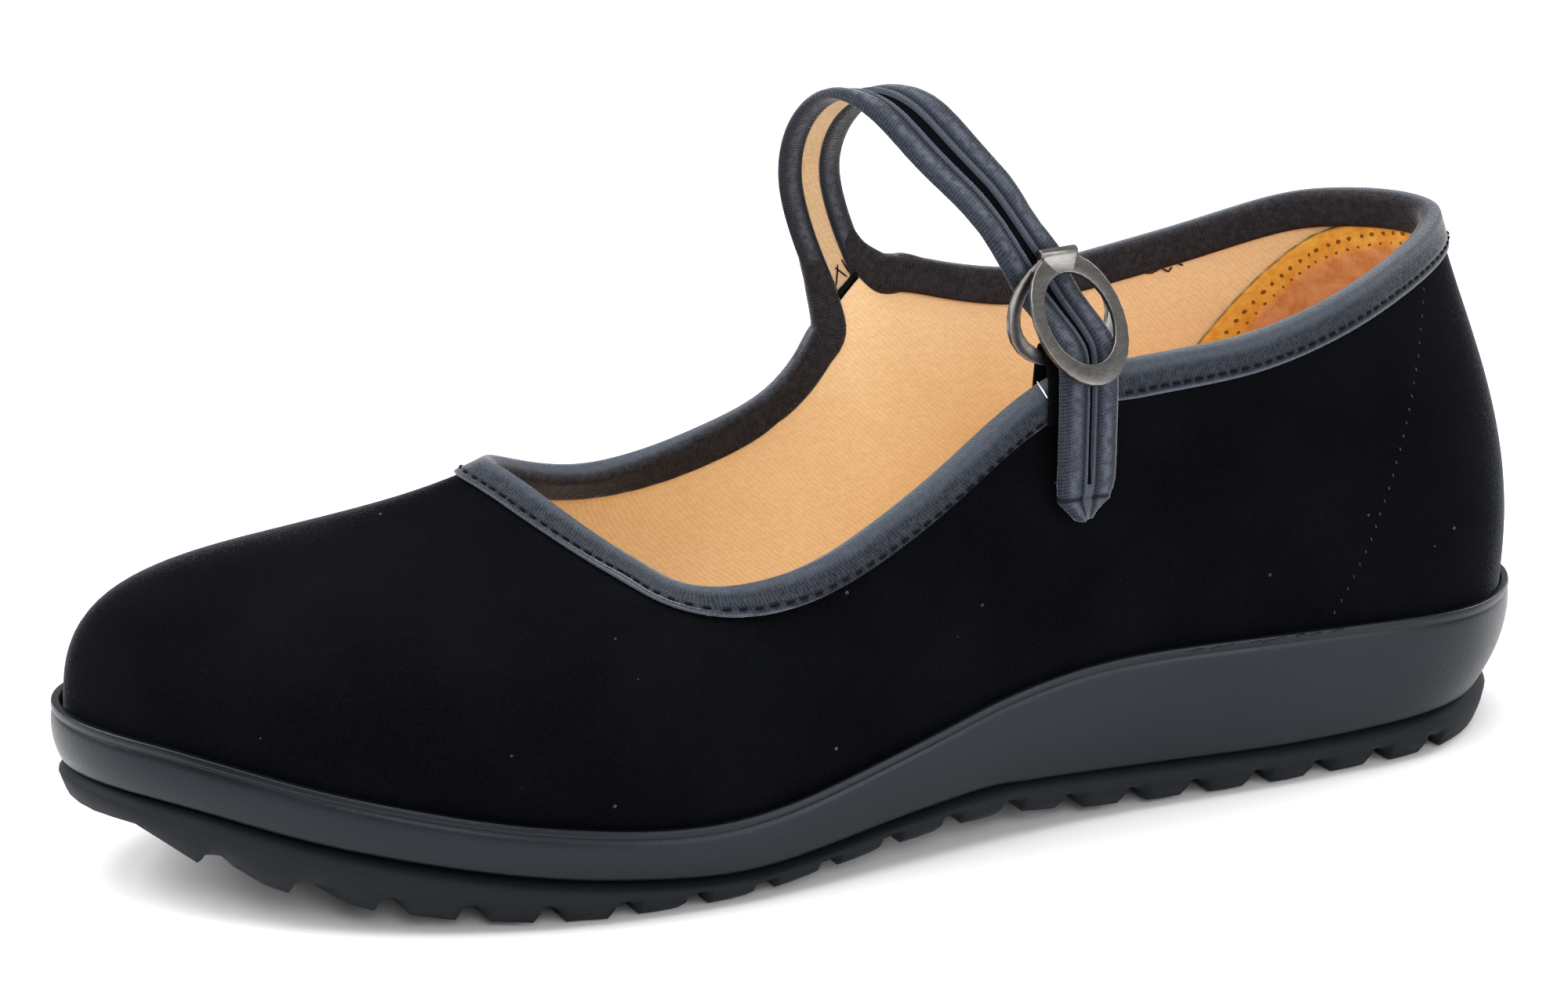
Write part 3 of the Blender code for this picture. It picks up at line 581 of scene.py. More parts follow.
# %% Creases of the upper
# Each crease runs from one point to another, in millimetres, with its half width and its height; a trough
# is below 0. They lie where the foot bends and where the strap pulls, and fade out before the tape and the
# lip.
CREASES = (
    ((-62, -34, 40), (-30, -40, 26), 4.5, -0.5), ((-54, -36, 38), (-22, -40, 24), 3.5, 0.35),
    ((-66, 34, 40), (-30, 40, 26), 4.5, -0.5), ((-56, 36, 38), (-24, 40, 24), 3.5, 0.3),
    ((26, -34, 62), (6, -37, 32), 5.0, 0.4), ((36, -33, 60), (20, -36, 32), 5.0, -0.45),
    ((-108, -10, 44), (-84, 14, 50), 6.0, -0.35), ((-100, -26, 38), (-76, -34, 38), 5.0, 0.3),
    ((20, 34, 58), (2, 37, 32), 6.0, -0.4), ((58, 33, 60), (44, 35, 36), 6.0, 0.3),
)
CREASE_REACH = 3
CREASE_ENDS = 0.12
CALM_BY_TAPE = (7 * MM, 14 * MM)
CALM_BY_LIP = (5 * MM, 11 * MM)
lip_line = Path(min(border_loops(outer_wall), key=mean_height), closed=True)


def fade(gap, low, high):
    """Go smoothly from 0 at low to 1 at high."""
    share = clamped((gap - low) / (high - low))
    return share * share * (3 - 2 * share)


def crease_height(point):
    """How far the cloth stands out at a point, in metres."""
    height = 0.0
    for start, end, width, rise in CREASES:
        start, end = Vector(start) * MM, Vector(end) * MM
        span = end - start
        share = clamped((point - start).dot(span) / span.dot(span))
        gap = (point - start - span * share).length / (width * MM)
        if gap < CREASE_REACH:
            share = clamped(share, CREASE_ENDS, 1 - CREASE_ENDS)
            height += rise * MM * math.exp(-gap * gap) * math.sin(math.pi * share)
    return height


moved = 0
for vertex in upper.data.vertices:
    height = crease_height(vertex.co)
    if height:
        out = outside.find_nearest(vertex.co)[1]
        _, tape_gap = topline.nearest(vertex.co)
        _, lip_gap = lip_line.nearest(vertex.co)
        calm = fade(tape_gap, *CALM_BY_TAPE) * fade(lip_gap, *CALM_BY_LIP)
        vertex.co += out * (height * calm)
        moved += calm > 0
print("creases moved", moved, "points")

# %% [markdown]
# Edge tape
#
# A ribbed tape is folded over the cut edge of the upper and sewn down near its lower edge. Its ribs run
# across it, so the shader has to know how far along the edge each point lies. That distance is stored on
# the mesh at each face corner, and not at each vertex, because the tape is a closed ring and its last face
# would otherwise run through the whole length backwards.

# %% Tape finish
RIB_PITCH = 0.55 * MM
ROLL = 1.0 * MM
TAPE_EDGE = 5.2 * MM + ROLL
STITCH_DEPTH = 3.95 * MM
SEWN = STITCH_DEPTH + ROLL


def tape_finish(name):
    """A ribbed tape whose ribs run across its length."""
    cloth = Finish(name, 0.85, Sheen_Weight=0.6, Sheen_Roughness=0.25, Specular_IOR_Level=0.1)
    along = cloth.measured("along")
    across = cloth.measured("across")
    yarn = cloth.noise(0.45 * MM, 3, 0.7)
    ribs = ((along + across * 0.25) * (FULL_TURN / RIB_PITCH) + yarn * 2.2).sine() * 0.5 + 0.5
    picks = (across * (FULL_TURN / (0.42 * MM)) + yarn * 2.0).sine() * 0.5 + 0.5
    weave = ribs * 0.42 + picks * 0.14 + yarn.ramp(0.3, 0.7) * 0.44
    return cloth, along, across, weave


tape, _, tape_across, tape_weave = tape_finish("binding_tape")
slate = tape.blend(tape_weave, rgb(10, 12, 16), rgb(52, 57, 66))
brown_black = tape.blend(tape_weave, rgb(17, 16, 18), rgb(48, 45, 49))
# The tape is painted lighter along its lower edge.
lighter_lower_edge = tape_across.ramp(TAPE_EDGE - 0.7 * MM, TAPE_EDGE - 0.2 * MM)
tape_colour = tape.blend(tape_across.ramp(-0.9 * MM, 0.3 * MM), brown_black, slate)
# Painted highlight: the rolled top of the tape, where it turns over the edge, is painted lighter.
rolled_top_highlight = tape_across.ramp(-1.0 * MM, 0.0 * MM) * tape_across.ramp(2.8 * MM, 1.2 * MM)
# The band of the stitch row: the bump sinks it into a groove, and its colour is painted darker as the shade
# in that groove.
above_thread = tape_across.ramp(SEWN - 0.7 * MM, SEWN - 0.15 * MM)
stitch_groove_and_shade = above_thread * tape_across.ramp(SEWN + 0.6 * MM, SEWN + 0.15 * MM)
fluff = tape.noise(1.1 * MM, 3).ramp(0.4, 0.65)
inner_hem = tape_across.ramp(-5.2 * MM, -5.9 * MM)
tape.colour(
    tape_colour,
    # Painted highlight on the rolled top, plus faint lighter fluff all over.
    (rolled_top_highlight * 0.28 + fluff * 0.07, rgb(98, 104, 114)),
    (inner_hem * 0.7, rgb(44, 26, 22)),
    # Painted shade in the stitch groove.
    (stitch_groove_and_shade * 0.2, rgb(16, 17, 21)),
    (lighter_lower_edge * 0.45, rgb(104, 110, 120)),
)
tape.bump(tape_weave * 0.4 - stitch_groove_and_shade, 0.22 * MM)

# %% Edge tape on the topline


def ways_at(place):
    """The way out of the upper and the way down its wall, at a place on the topline."""
    way_out = outside.find_nearest(topline.at(place))[1]
    way_down = way_out.cross(topline.run(place)).normalized()
    return way_out, -way_down if way_down.z > 0 else way_down


# Half the thickness of the upper's wall, and the width over which the tape turns from its inside to its
# outside.
WALL_HALF = 0.9 * MM
TURN_WIDTH = 1.2 * MM


def measure_round(piece):
    """Store each face corner's place along the topline and its depth: above 0 outside, below 0 inside."""
    mesh = piece.data
    along = mesh.attributes.new("along", "FLOAT", "CORNER")
    across = mesh.attributes.new("across", "FLOAT", "CORNER")
    found = []
    for vertex in mesh.vertices:
        place, _ = topline.nearest(vertex.co)
        offset = vertex.co - topline.at(place)
        way_out, way_down = ways_at(place)
        out = offset.dot(way_out)
        down = max(offset.dot(way_down), 0)
        side = clamped((out + WALL_HALF) / TURN_WIDTH, -1)
        found.append((place, (down + ROLL) * side))
    for face in mesh.polygons:
        first = found[mesh.loops[face.loop_start].vertex_index][0]
        for i in face.loop_indices:
            place, down = found[mesh.loops[i].vertex_index]
            turns = round((first - place) / topline.length)
            along.data[i].value = place + turns * topline.length
            across.data[i].value = down


edge_tape = finer("edge_tape", "topline_binding", 2, SHARP, 0.45, [tape])
measure_round(edge_tape)

# %% [markdown]
# Strap
#
# The strap is two bound bands with a velvet groove between them and a lining stripe at its back. Its solid
# already takes the right way through the air and the buckle, so its cross sections are read ring by ring,
# and a finer profile is lofted along them. Array and Curve modifiers could bend a straight band, but they
# twist where the strap turns over, and the rings here keep the real twist.

# %% Read the strap's sections
RING_CORNERS = 12
SAME_PLANE = math.radians(0.6)


def strap_rings():
    """Read the strap's rings of corners from its sewn end to its tip."""
    flat = read_solid("strap")
    bmesh.ops.dissolve_limit(flat, angle_limit=SAME_PLANE, verts=flat.verts, edges=flat.edges)
    caps = [face for face in flat.faces if len(face.verts) == RING_CORNERS]
    cap = max(caps, key=lambda face: face.calc_center_median().y)
    seeds = [corner.co.copy() for corner in cap.verts]
    flat.free()
    work = read_solid("strap")
    ring = {min(work.verts, key=lambda v, s=seed: (v.co - s).length) for seed in seeds}
    seen = set(ring)
    rings = []
    while ring:
        rings.append(sorted((vertex.co.copy() for vertex in ring), key=lambda corner: corner[:]))
        ring = {e.other_vert(v) for v in ring for e in v.link_edges} - seen
        seen |= ring
    work.free()
    return rings


def read_section(ring, before):
    """Give a ring's middle, its direction across, its front side and half its width."""
    pairs = ((a, b) for i, a in enumerate(ring) for b in ring[i + 1:])
    a, b = max(pairs, key=lambda pair: (pair[0] - pair[1]).length)
    middle = (a + b) / 2
    across = (a - b).normalized()
    like = before[1] if before else Vector((1, 0, 0))
    if like.dot(across) < 0:
        across = -across
    front = sum(ring, Vector()) / len(ring) - middle
    front = (front - across * front.dot(across)).normalized()
    return middle, across, front, (a - b).length / 2


strap_sections = []
for ring in strap_rings():
    strap_sections.append(read_section(ring, strap_sections[-1] if strap_sections else None))
LOOP_RINGS = range(2, 26)
SMOOTHING = 2
for _ in range(SMOOTHING):
    smoothed = list(strap_sections)
    for i in LOOP_RINGS:
        before, here, after = strap_sections[i - 1:i + 2]
        smoothed[i] = tuple(a * 0.25 + b * 0.5 + c * 0.25 for a, b, c in zip(before, here, after))
    strap_sections = smoothed
strap_path = Path([section[0] for section in strap_sections])
print(len(strap_sections), "sections, strap", round(strap_path.length / MM), "mm long")

# %% Strap finish
strap_tape, strap_along, strap_across, strap_weave = tape_finish("strap_tape")
strap_slate = strap_tape.blend(strap_weave, rgb(16, 18, 23), rgb(55, 60, 71))
from_middle = strap_across.absolute()
# Painted highlight on the piping bead at each side of the groove.
piping_highlight = from_middle.ramp(1.75 * MM, 1.45 * MM)
fold_shade = from_middle.ramp(1.6 * MM, 1.8 * MM) * from_middle.ramp(2.3 * MM, 2.0 * MM)
# The crown of each band: painted lighter as a highlight where it faces the light, broken up by fluff as wear.
crown_highlight_and_wear = from_middle.ramp(2.2 * MM, 3.1 * MM) * from_middle.ramp(4.6 * MM, 3.5 * MM)
strap_fluff = strap_tape.noise(1.3 * MM, 3).ramp(0.35, 0.65)
TIP_FOLD = 3.6 * MM
from_fold = (strap_along - (strap_path.length - TIP_FOLD)).absolute()
strap_tape.colour(
    strap_slate,
    (fold_shade * 0.6, rgb(16, 17, 22)),
    # Painted highlight and wear on the crown of each band.
    (crown_highlight_and_wear * (strap_fluff * 0.3 + 0.12), rgb(104, 109, 120)),
    # Painted shade along the fold at the tip.
    (from_fold.ramp(0.5 * MM, 0.2 * MM) * 0.8, rgb(9, 10, 13)),
    # Painted highlight on the piping beads.
    (piping_highlight * 0.35, rgb(92, 98, 110)),
)
strap_tape.bump(strap_weave, 0.1 * MM)

# %% Profile of the strap
STRAP_HALF = 5.5 * MM
STRAP_STATIONS = 280
SLOT_HALF = 0.83
SLOT_LOOP = 1.0
SLOT_TAIL = 0.5
TAIL_STARTS = 92 * MM
TAIL_BLEND = 20 * MM
LINING_HALF = 1.5
SLOT_CLOSES = 9 * MM
CLOSING = 4 * MM
VELVET_ENDS = 6 * MM
CLOSING_HALF = 2
CLOSED_HEIGHT = 1.0
BAND_STARTS = 1.5
FOLD_DEPTH = 0.4
FOLD_WIDTH = 0.35 * MM

# Across and out of the strap in millimetres, from the groove round the edge to the middle of the back.
BAND_PROFILE = [
    (0.00, 0.28), (0.55, 0.28), (0.80, 0.30), (0.86, 0.62), (0.95, 0.90), (1.15, 1.03), (1.40, 1.03),
    (1.60, 0.92), (1.78, 0.84), (2.00, 0.92), (2.50, 1.10), (3.10, 1.20), (3.80, 1.18), (4.40, 1.03),
    (4.95, 0.76), (5.30, 0.40), (5.47, 0.05), (5.42, -0.26), (5.16, -0.50), (4.60, -0.66), (3.60, -0.74),
    (2.60, -0.76), (1.90, -0.72), (1.58, -0.64), (1.50, -0.50), (1.00, -0.52), (0.00, -0.54),
]


def strap_place(distance):
    """Blend the strap's sections at a distance along it."""
    i, share = between(strap_path.places[::strap_path.fine], distance)
    low, high = strap_sections[i], strap_sections[i + 1]
    across = low[1].lerp(high[1], share).normalized()
    front = low[2].lerp(high[2], share)
    front = (front - across * front.dot(across)).normalized()
    return strap_path.at(distance), across, front, low[3] + (high[3] - low[3]) * share


def slot_scale(distance):
    """The groove is wide open on the loop and nearly shut on the tail."""
    share = clamped((distance - TAIL_STARTS) / TAIL_BLEND)
    return SLOT_LOOP + (SLOT_TAIL - SLOT_LOOP) * share


def remapped(a, scale):
    """Narrow the groove and widen the bands to fill the strap."""
    if abs(a) <= BAND_STARTS:
        return a * scale
    half = STRAP_HALF / MM
    wider = (half - BAND_STARTS * scale) / (half - BAND_STARTS)
    return math.copysign(BAND_STARTS * scale + (abs(a) - BAND_STARTS) * wider, a)


def strip_material(a, b, groove_open):
    """The number of the material of a lengthwise strip: tape, velvet in the groove, or lining."""
    if b > 0:
        return 1 if abs(a) < SLOT_HALF and groove_open else 0
    return 2 if abs(a) < LINING_HALF and b < 0 else 0


# %% Loft the strap


def loft_strap():
    """Sweep the band profile along the strap and choose a material for each lengthwise strip."""
    profile = BAND_PROFILE + [(-a, b) for a, b in BAND_PROFILE[-2:0:-1]]
    count = len(profile)
    points, measures, materials = [], [], []
    for i in range(STRAP_STATIONS):
        distance = strap_path.length * i / (STRAP_STATIONS - 1)
        middle, across, front, half = strap_place(distance)
        share = half / STRAP_HALF
        closing = clamped((distance - strap_path.length + SLOT_CLOSES) / CLOSING)
        past_fold = (distance - strap_path.length + TIP_FOLD) / FOLD_WIDTH
        scale = slot_scale(distance)
        for a, b in profile:
            shown = a
            if b > 0:
                if abs(a) < CLOSING_HALF:
                    b += (CLOSED_HEIGHT - b) * closing
                shown = remapped(a, scale)
                b -= FOLD_DEPTH * math.exp(-past_fold * past_fold)
            points.append(middle + across * (shown * MM * share) + front * (b * MM))
            measures.append((distance, a * MM))
    groove_ends = (STRAP_STATIONS - 1) * (1 - VELVET_ENDS / strap_path.length)
    for i in range(STRAP_STATIONS - 1):
        for (a, b), (c, d) in zip(profile, profile[1:] + profile[:1]):
            materials.append(strip_material((a + c) / 2, (b + d) / 2, i < groove_ends))
    faces = tube_faces(STRAP_STATIONS, count)
    return points, faces, materials + [0, 0], measures


points, faces, materials, measures = loft_strap()
strap = mesh_piece("bound_strap", points, faces, strap_tape)
strap.data.materials.append(velvet.material)
strap.data.materials.append(shaded_strap_twill.material)
strap.data.polygons.foreach_set("material_index", materials)
hold(strap, ("along", "across"), measures)
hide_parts("strap")
print("strap has", len(faces), "faces")

# %% [markdown]
# Buckle
#
# The buckle is stamped from nickel sheet, so its faces are flat and only its edges are broken. A Bevel
# modifier would do that too, but the solid comes in as loose triangles. They are joined first, and the
# bevel is made in the mesh on every edge that folds sharply. The brushed look is a noise that is drawn out
# along one way.

# %% Brushed nickel
nickel = Finish("brushed_nickel", 0.34, 1.0, Specular_IOR_Level=0.5)
scratches = nickel.noise(0.35 * MM, 4, 0.7, nickel.stretched(0.3, 0.3, 1.0))
smear = nickel.noise(4 * MM, 2)
polish = scratches.ramp(0.25, 0.75) * 0.6 + smear * 0.4
nickel.colour(nickel.blend(polish, rgb(90, 88, 86), rgb(124, 121, 118)))
nickel.feed("Roughness", scratches * 0.12 + smear * 0.12 + 0.2)
nickel.bump(scratches, 0.005 * MM)

# %% Buckle
SHADED_FLAT = math.radians(28)
BROKEN_EDGE = 0.17 * MM
FOLDED = math.radians(50)


def beveled(name, node, fold, width, steps):
    """Copy a flat-faced solid with its sharp edges broken."""
    work = read_solid(node)
    edges = [edge for edge in work.edges if edge.calc_face_angle(0) > fold]
    bmesh.ops.bevel(work, geom=edges, offset=width, segments=steps, profile=0.5, affect="EDGES")
    mesh = bpy.data.meshes.new(name)
    work.to_mesh(mesh)
    work.free()
    mesh.shade_smooth()
    mesh.set_sharp_from_angle(angle=SHADED_FLAT)
    piece = linked(name, mesh)
    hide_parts(node)
    print(name, "has", len(mesh.polygons), "faces")
    return piece


buckle = beveled("nickel_buckle", "buckle", FOLDED, BROKEN_EDGE, 3)
buckle.data.materials.append(nickel.material)

# %% [markdown]
# Keeper
#
# The keeper is a loop of velvet tape that holds the back ring. Its solid has the right folds, and needs
# only the cloth and rounder edges, so it is subdivided like the upper. A ribbon along a curve would give
# the same tape, but it would have to be fitted to the ring again.

# %% Keeper
keeper = finer("tape_keeper", "buckle_keeper", 3, FOLDED, 0.6, [velvet])

# %% [markdown]
# Stitches
#
# A seam could be painted as a dashed line, but thread stands proud and casts a small shadow, so each stitch
# is a rounded dash of its own. To find its place one walks down the wall from the topline: a step at a time
# in the surface, always square to the edge, as a tape measure would lie.

# %% Points on a piece and down a wall
WALK_STEP = 0.5 * MM


def piece_tree(piece):
    """Make a tree of a piece's faces, to lay points on it."""
    corners = [vertex.co.copy() for vertex in piece.data.vertices]
    return BVHTree.FromPolygons(corners, [tuple(face.vertices) for face in piece.data.polygons])


def walk(tree, place, depth):
    """Walk down a wall from the topline and return the points and normals passed, one for each step."""
    run = topline.run(place)
    point, normal, _, _ = tree.find_nearest(topline.at(place))
    down = normal.cross(run)
    if down.z > 0:
        down = -down
    passed = [(point, normal, run)]
    for _ in range(int(depth / WALK_STEP) + 1):
        down = (down - normal * down.dot(normal)).normalized()
        point, normal, _, _ = tree.find_nearest(point + down * WALK_STEP)
        passed.append((point, normal, normal.cross(down).normalized()))
    return passed


def at_depth(passed, depth):
    """Blend the walked points at a depth below the topline."""
    i = min(int(depth / WALK_STEP), len(passed) - 2)
    share = depth / WALK_STEP - i
    (low, low_normal, run), (high, high_normal, _) = passed[i], passed[i + 1]
    return low.lerp(high, share), low_normal.lerp(high_normal, share).normalized(), run


# %% Thread finishes


def thread_finish(name, roughness, specular, dark, light, fuzz=0.25 * MM):
    """A twisted thread, darker and lighter along its fuzz."""
    made = Finish(name, roughness, Specular_IOR_Level=specular)
    made.colour(made.blend(made.noise(fuzz), dark, light))
    return made


thread = thread_finish("black_thread", 0.9, 0.08, rgb(6, 6, 8), rgb(17, 18, 22))
pale_thread = thread_finish("grey_thread", 0.7, 0.3, rgb(44, 46, 52), rgb(84, 86, 92))

# %% Rounded dashes
DASH_SIDES = 7
DASH_RINGS = ((0, 0.35), (0.12, 0.85), (0.5, 1.0), (0.88, 0.85), (1, 0.35))


def dashes(name, rows, finish):
    """Make a piece of rounded dashes from rows of two ends, the way out of the cloth and a radius."""
    points, faces = [], []
    for start, end, normal, radius in rows:
        faces += tube_faces(len(DASH_RINGS), DASH_SIDES, len(points))
        side = normal.cross((end - start).normalized()).normalized()
        for share, width in DASH_RINGS:
            for k in range(DASH_SIDES):
                turn = FULL_TURN * k / DASH_SIDES
                spoke = side * math.cos(turn) + normal * math.sin(turn)
                points.append(start.lerp(end, share) + spoke * (radius * width))
    mesh_piece(name, points, faces, finish)
    print(name, "has", len(rows), "dashes")


# %% Stitches on the edge tape
STITCH_PITCH = 2.15 * MM
STITCH_LENGTH = 1.45 * MM
STITCH_RADIUS = 0.24 * MM
STITCH_LIFT = 0.12 * MM
ABOVE_TAPE = 1.2 * MM

tape_tree = piece_tree(edge_tape)
random.seed(7)
rows = []
for i in range(int(topline.length / STITCH_PITCH)):
    centre, normal, run = at_depth(walk(outside, i * STITCH_PITCH, STITCH_DEPTH), STITCH_DEPTH)
    ends = []
    for share in (-0.5, 0.5):
        near = centre + run * (STITCH_LENGTH * share * random.uniform(0.85, 1.1)) + normal * ABOVE_TAPE
        laid, tape_normal, _, _ = tape_tree.find_nearest(near)
        ends.append(laid + tape_normal * STITCH_LIFT)
    rows.append((*ends, tape_normal, STITCH_RADIUS))
dashes("tape_stitches", rows, thread)

# %% [markdown]
# Quarter seam
#
# The side pieces of the upper meet in a seam that leans towards the heel. Its thread sinks into the pile,
# and only grey dots of it show. A line in the shader would be simpler, but it would be evenly sharp, so
# short dashes of slightly different thickness are laid along it instead.

# %% Quarter seam
# Along from the heel and down from the topline, both in millimetres, on either side of the heel.
SEAM_TOP = (18.3, 6.5)
SEAM_FOOT = (52.8, 48.0)
SEAM_BOW = 3.0
SEAM_DOTS = 26
DOT_LENGTH = 0.55 * MM

rows = []
for side in (1, -1):
    for i in range(SEAM_DOTS):
        share = i / (SEAM_DOTS - 1)
        from_heel = SEAM_TOP[0] + (SEAM_FOOT[0] - SEAM_TOP[0]) * share + SEAM_BOW * math.sin(math.pi * share)
        depth = (SEAM_TOP[1] + (SEAM_FOOT[1] - SEAM_TOP[1]) * share) * MM
        passed = walk(outside, heel_place + side * from_heel * MM, depth + DOT_LENGTH)
        start, normal, _ = at_depth(passed, depth)
        end, _, _ = at_depth(passed, depth + DOT_LENGTH)
        rows.append((start, end, normal, random.uniform(0.06, 0.09) * MM))
dashes("quarter_seam", rows, pale_thread)

# %% [markdown]
# Heel grip
#
# A half round of soft leather is glued inside the heel against slipping, with two rows of pinholes along
# its arched edge. It could be cut out of the lining with a Boolean, but then it would have no thickness. It
# is laid on the lining as a grid of points whose top row follows the arch, and the Solidify modifier gives
# it a back. The holes are drawn by the shader, because real ones this small would cost more faces than the
# whole shoe.

# %% Heel grip outline
GRIP_HALF = 66
GRIP_HEIGHT = 51.4
GRIP_FOOT = 54
GRIP_COLUMNS = 132
GRIP_ROWS = 26
GRIP_LIFT = 0.7 * MM
GRIP_EDGE_LIFT = 0.05 * MM
GRIP_BACKING = 0.5 * MM
GRIP_TRIM = 0.02
GRIP_CROWDING = 1.3
GRIP_ROUNDING = 0.5
ARCH_STOPS = 80


def arch_point(turn):
    """A point of the grip's arched edge, from the heel and down from the topline, in millimetres."""
    return -GRIP_HALF * math.cos(turn), GRIP_FOOT - GRIP_HEIGHT * math.sin(turn)


arch = Path([Vector((*arch_point(math.pi * i / ARCH_STOPS), 0)) for i in range(ARCH_STOPS + 1)], fine=4)
print("the grip's edge is", round(arch.length), "mm long")

# %% Leather of the grip
leather = Finish("grip_leather", 0.55, Specular_IOR_Level=0.35)
from_edge = leather.measured("from_edge")
round_edge = leather.measured("round_edge")
HOLE_PITCH = 2.3


def hole_row(distance, radius, shift):
    """A row of round holes at a distance from the edge, in millimetres."""
    beside = (round_edge + shift).wrapped(HOLE_PITCH) * HOLE_PITCH - HOLE_PITCH / 2
    down = from_edge - distance
    reach = (beside * beside + down * down).root()
    return reach.ramp(radius * 1.25, radius * 0.75)


holes = hole_row(2.7, 0.36, 0).larger(hole_row(4.5, 0.24, HOLE_PITCH / 2))
mottle = leather.noise(2.4 * MM, 4, 0.65)
suede = leather.noise(0.5 * MM, 3)
rim = leather.blend(mottle.ramp(0.3, 0.7), rgb(208, 142, 40), rgb(226, 172, 74))
middle = leather.blend(mottle.ramp(0.3, 0.7), rgb(186, 118, 66), rgb(204, 148, 102))
hide = leather.blend(from_edge.ramp(3.4, 6.4), rim, middle)
cut_edge = from_edge.ramp(0.5, 0.15)
# The pinholes are painted dark brown, as the shade inside each hole.
leather.colour(hide, (holes * 0.85, rgb(92, 44, 10)), (cut_edge * 0.75, rgb(82, 60, 22)))
leather.feed("Roughness", suede * 0.2 + 0.45)
leather.bump(suede * 0.3 + mottle * 0.25 - holes, 0.3 * MM)

# %% Lay the heel grip
points, faces, measures = [], [], []
for i in range(GRIP_COLUMNS + 1):
    from_heel, top = arch_point(math.pi * (GRIP_TRIM + (1 - 2 * GRIP_TRIM) * i / GRIP_COLUMNS))
    passed = walk(inside, heel_place + from_heel * MM, GRIP_FOOT * MM)
    for j in range(GRIP_ROWS + 1):
        depth = top + (GRIP_FOOT - top) * (j / GRIP_ROWS) ** GRIP_CROWDING
        point, normal, _ = at_depth(passed, depth * MM)
        round_place, gap = arch.nearest(Vector((from_heel, depth, 0)))
        lift = GRIP_LIFT * math.sqrt(min(gap / GRIP_ROUNDING, 1)) + GRIP_EDGE_LIFT
        points.append(point + normal * lift)
        measures.append((gap, round_place))
down_count = GRIP_ROWS + 1
for i in range(GRIP_COLUMNS):
    for a in range(i * down_count, i * down_count + GRIP_ROWS):
        faces.append((a, a + 1, a + 1 + down_count, a + down_count))
grip = mesh_piece("heel_grip", points, faces, leather)
seen_side = inside.find_nearest(grip.data.polygons[0].center)[1]
if grip.data.polygons[0].normal.dot(seen_side) < 0:
    grip.data.flip_normals()
hold(grip, ("from_edge", "round_edge"), measures)
backing = grip.modifiers.new("backing", "SOLIDIFY")
backing.thickness = GRIP_BACKING
backing.offset = -1
print("heel grip has", len(faces), "faces")

# %% [markdown]
# Threads one by one
#
# Where the strap is sewn in, a few crossed stitches show on its lining, and brown threads hang out under
# the far tape. Such marks are what tells a sewn shoe from a moulded one. There are few of them, so each is
# placed one by one with the same rounded dash, which costs less work than a scatter and gives the same result
# each run.

# %% Stitches at the strap's root


def on_strap(distance, across, out):
    """A point beside the strap's middle line, in millimetres across and out of its front."""
    middle, sideways, front, _ = strap_place(distance * MM)
    return middle + sideways * (across * MM) + front * (out * MM), front


# Each stitch goes from one place along and across the strap to another, in millimetres.
ROOT_STITCHES = (((1.6, -1.5), (4.8, 0.2)), ((1.4, 0.9), (4.6, -0.5)), ((1.8, 1.5), (5.2, 1.1)))
ON_LINING = -0.62
ROOT_RADIUS = 0.14 * MM
rows = []
for first, second in ROOT_STITCHES:
    start, front = on_strap(*first, ON_LINING)
    end, _ = on_strap(*second, ON_LINING)
    rows.append((start, end, -front, ROOT_RADIUS))
dashes("root_stitches", rows, thread)

# %% Loose threads under the far tape
LOOSE_AT = Vector((74.5, 28.5, 70.7)) * MM
LOOSE_LIFT = 0.25 * MM
LOOSE_RADIUS = 0.16 * MM

# Each thread goes from one place along the topline and below it to another, in millimetres.
LOOSE_THREADS = (
    (-2.6, 5.3, -1.0, 5.7), (-1.2, 5.6, 0.6, 5.2), (0.4, 5.2, 1.6, 6.3),
    (1.5, 6.3, 2.3, 5.6), (3.4, 5.3, 4.2, 5.9),
)
loose_thread = thread_finish("brown_thread", 0.8, 0.2, rgb(34, 18, 14), rgb(66, 40, 32), 0.3 * MM)
loose_place, _ = topline.nearest(LOOSE_AT)
rows = []
for *first, end_along, end_depth in LOOSE_THREADS:
    ends = []
    for along, depth in (first, (end_along, end_depth)):
        passed = walk(inside, loose_place + along * MM, depth * MM)
        point, normal, _ = at_depth(passed, depth * MM)
        ends.append(point + normal * LOOSE_LIFT)
    rows.append((*ends, normal, LOOSE_RADIUS))
dashes("loose_threads", rows, loose_thread)

# %% [markdown]
# Where the strap meets the collar
#
# On the real shoe the tape on each edge of the strap runs on into the tape of the topline, so both corners
# are rounded and no raw edge shows. The solids stop short of each other there. A short tape is swept
# through each corner: it comes out of the strap's band, turns, and dives into the topline's tape, and it
# changes its thickness on the way. A curve with a bevel could not change its width and its thickness each
# by itself.

# %% Sweep a tape through a corner
CORNER_SIDES = 20
CORNER_STEPS = 44
CORNER_SQUARENESS = 0.6
CORNER_OUT = 0.22

# Measures across the tape, in millimetres, by which its finish is slate on the strap and brown in the collar.
# The turn takes a share of the way, and the outer side stays slate.
# The strap end of each corner tape falls within the tape's painted highlight on its rolled top, which fades
# out where the finish turns brown.
SLATE_UNTIL, BROWN_FROM = -0.25, -3.0
COLOUR_TURNS = 0.45
OUTER_SIDE = -0.5
OUTER_COLOUR = 3


def wall_point(place, depth):
    """The middle of the upper's wall at a place and a depth, and the way in."""
    point, normal, _ = at_depth(walk(outside, place, depth), depth)
    return point - normal * WALL_HALF, -normal


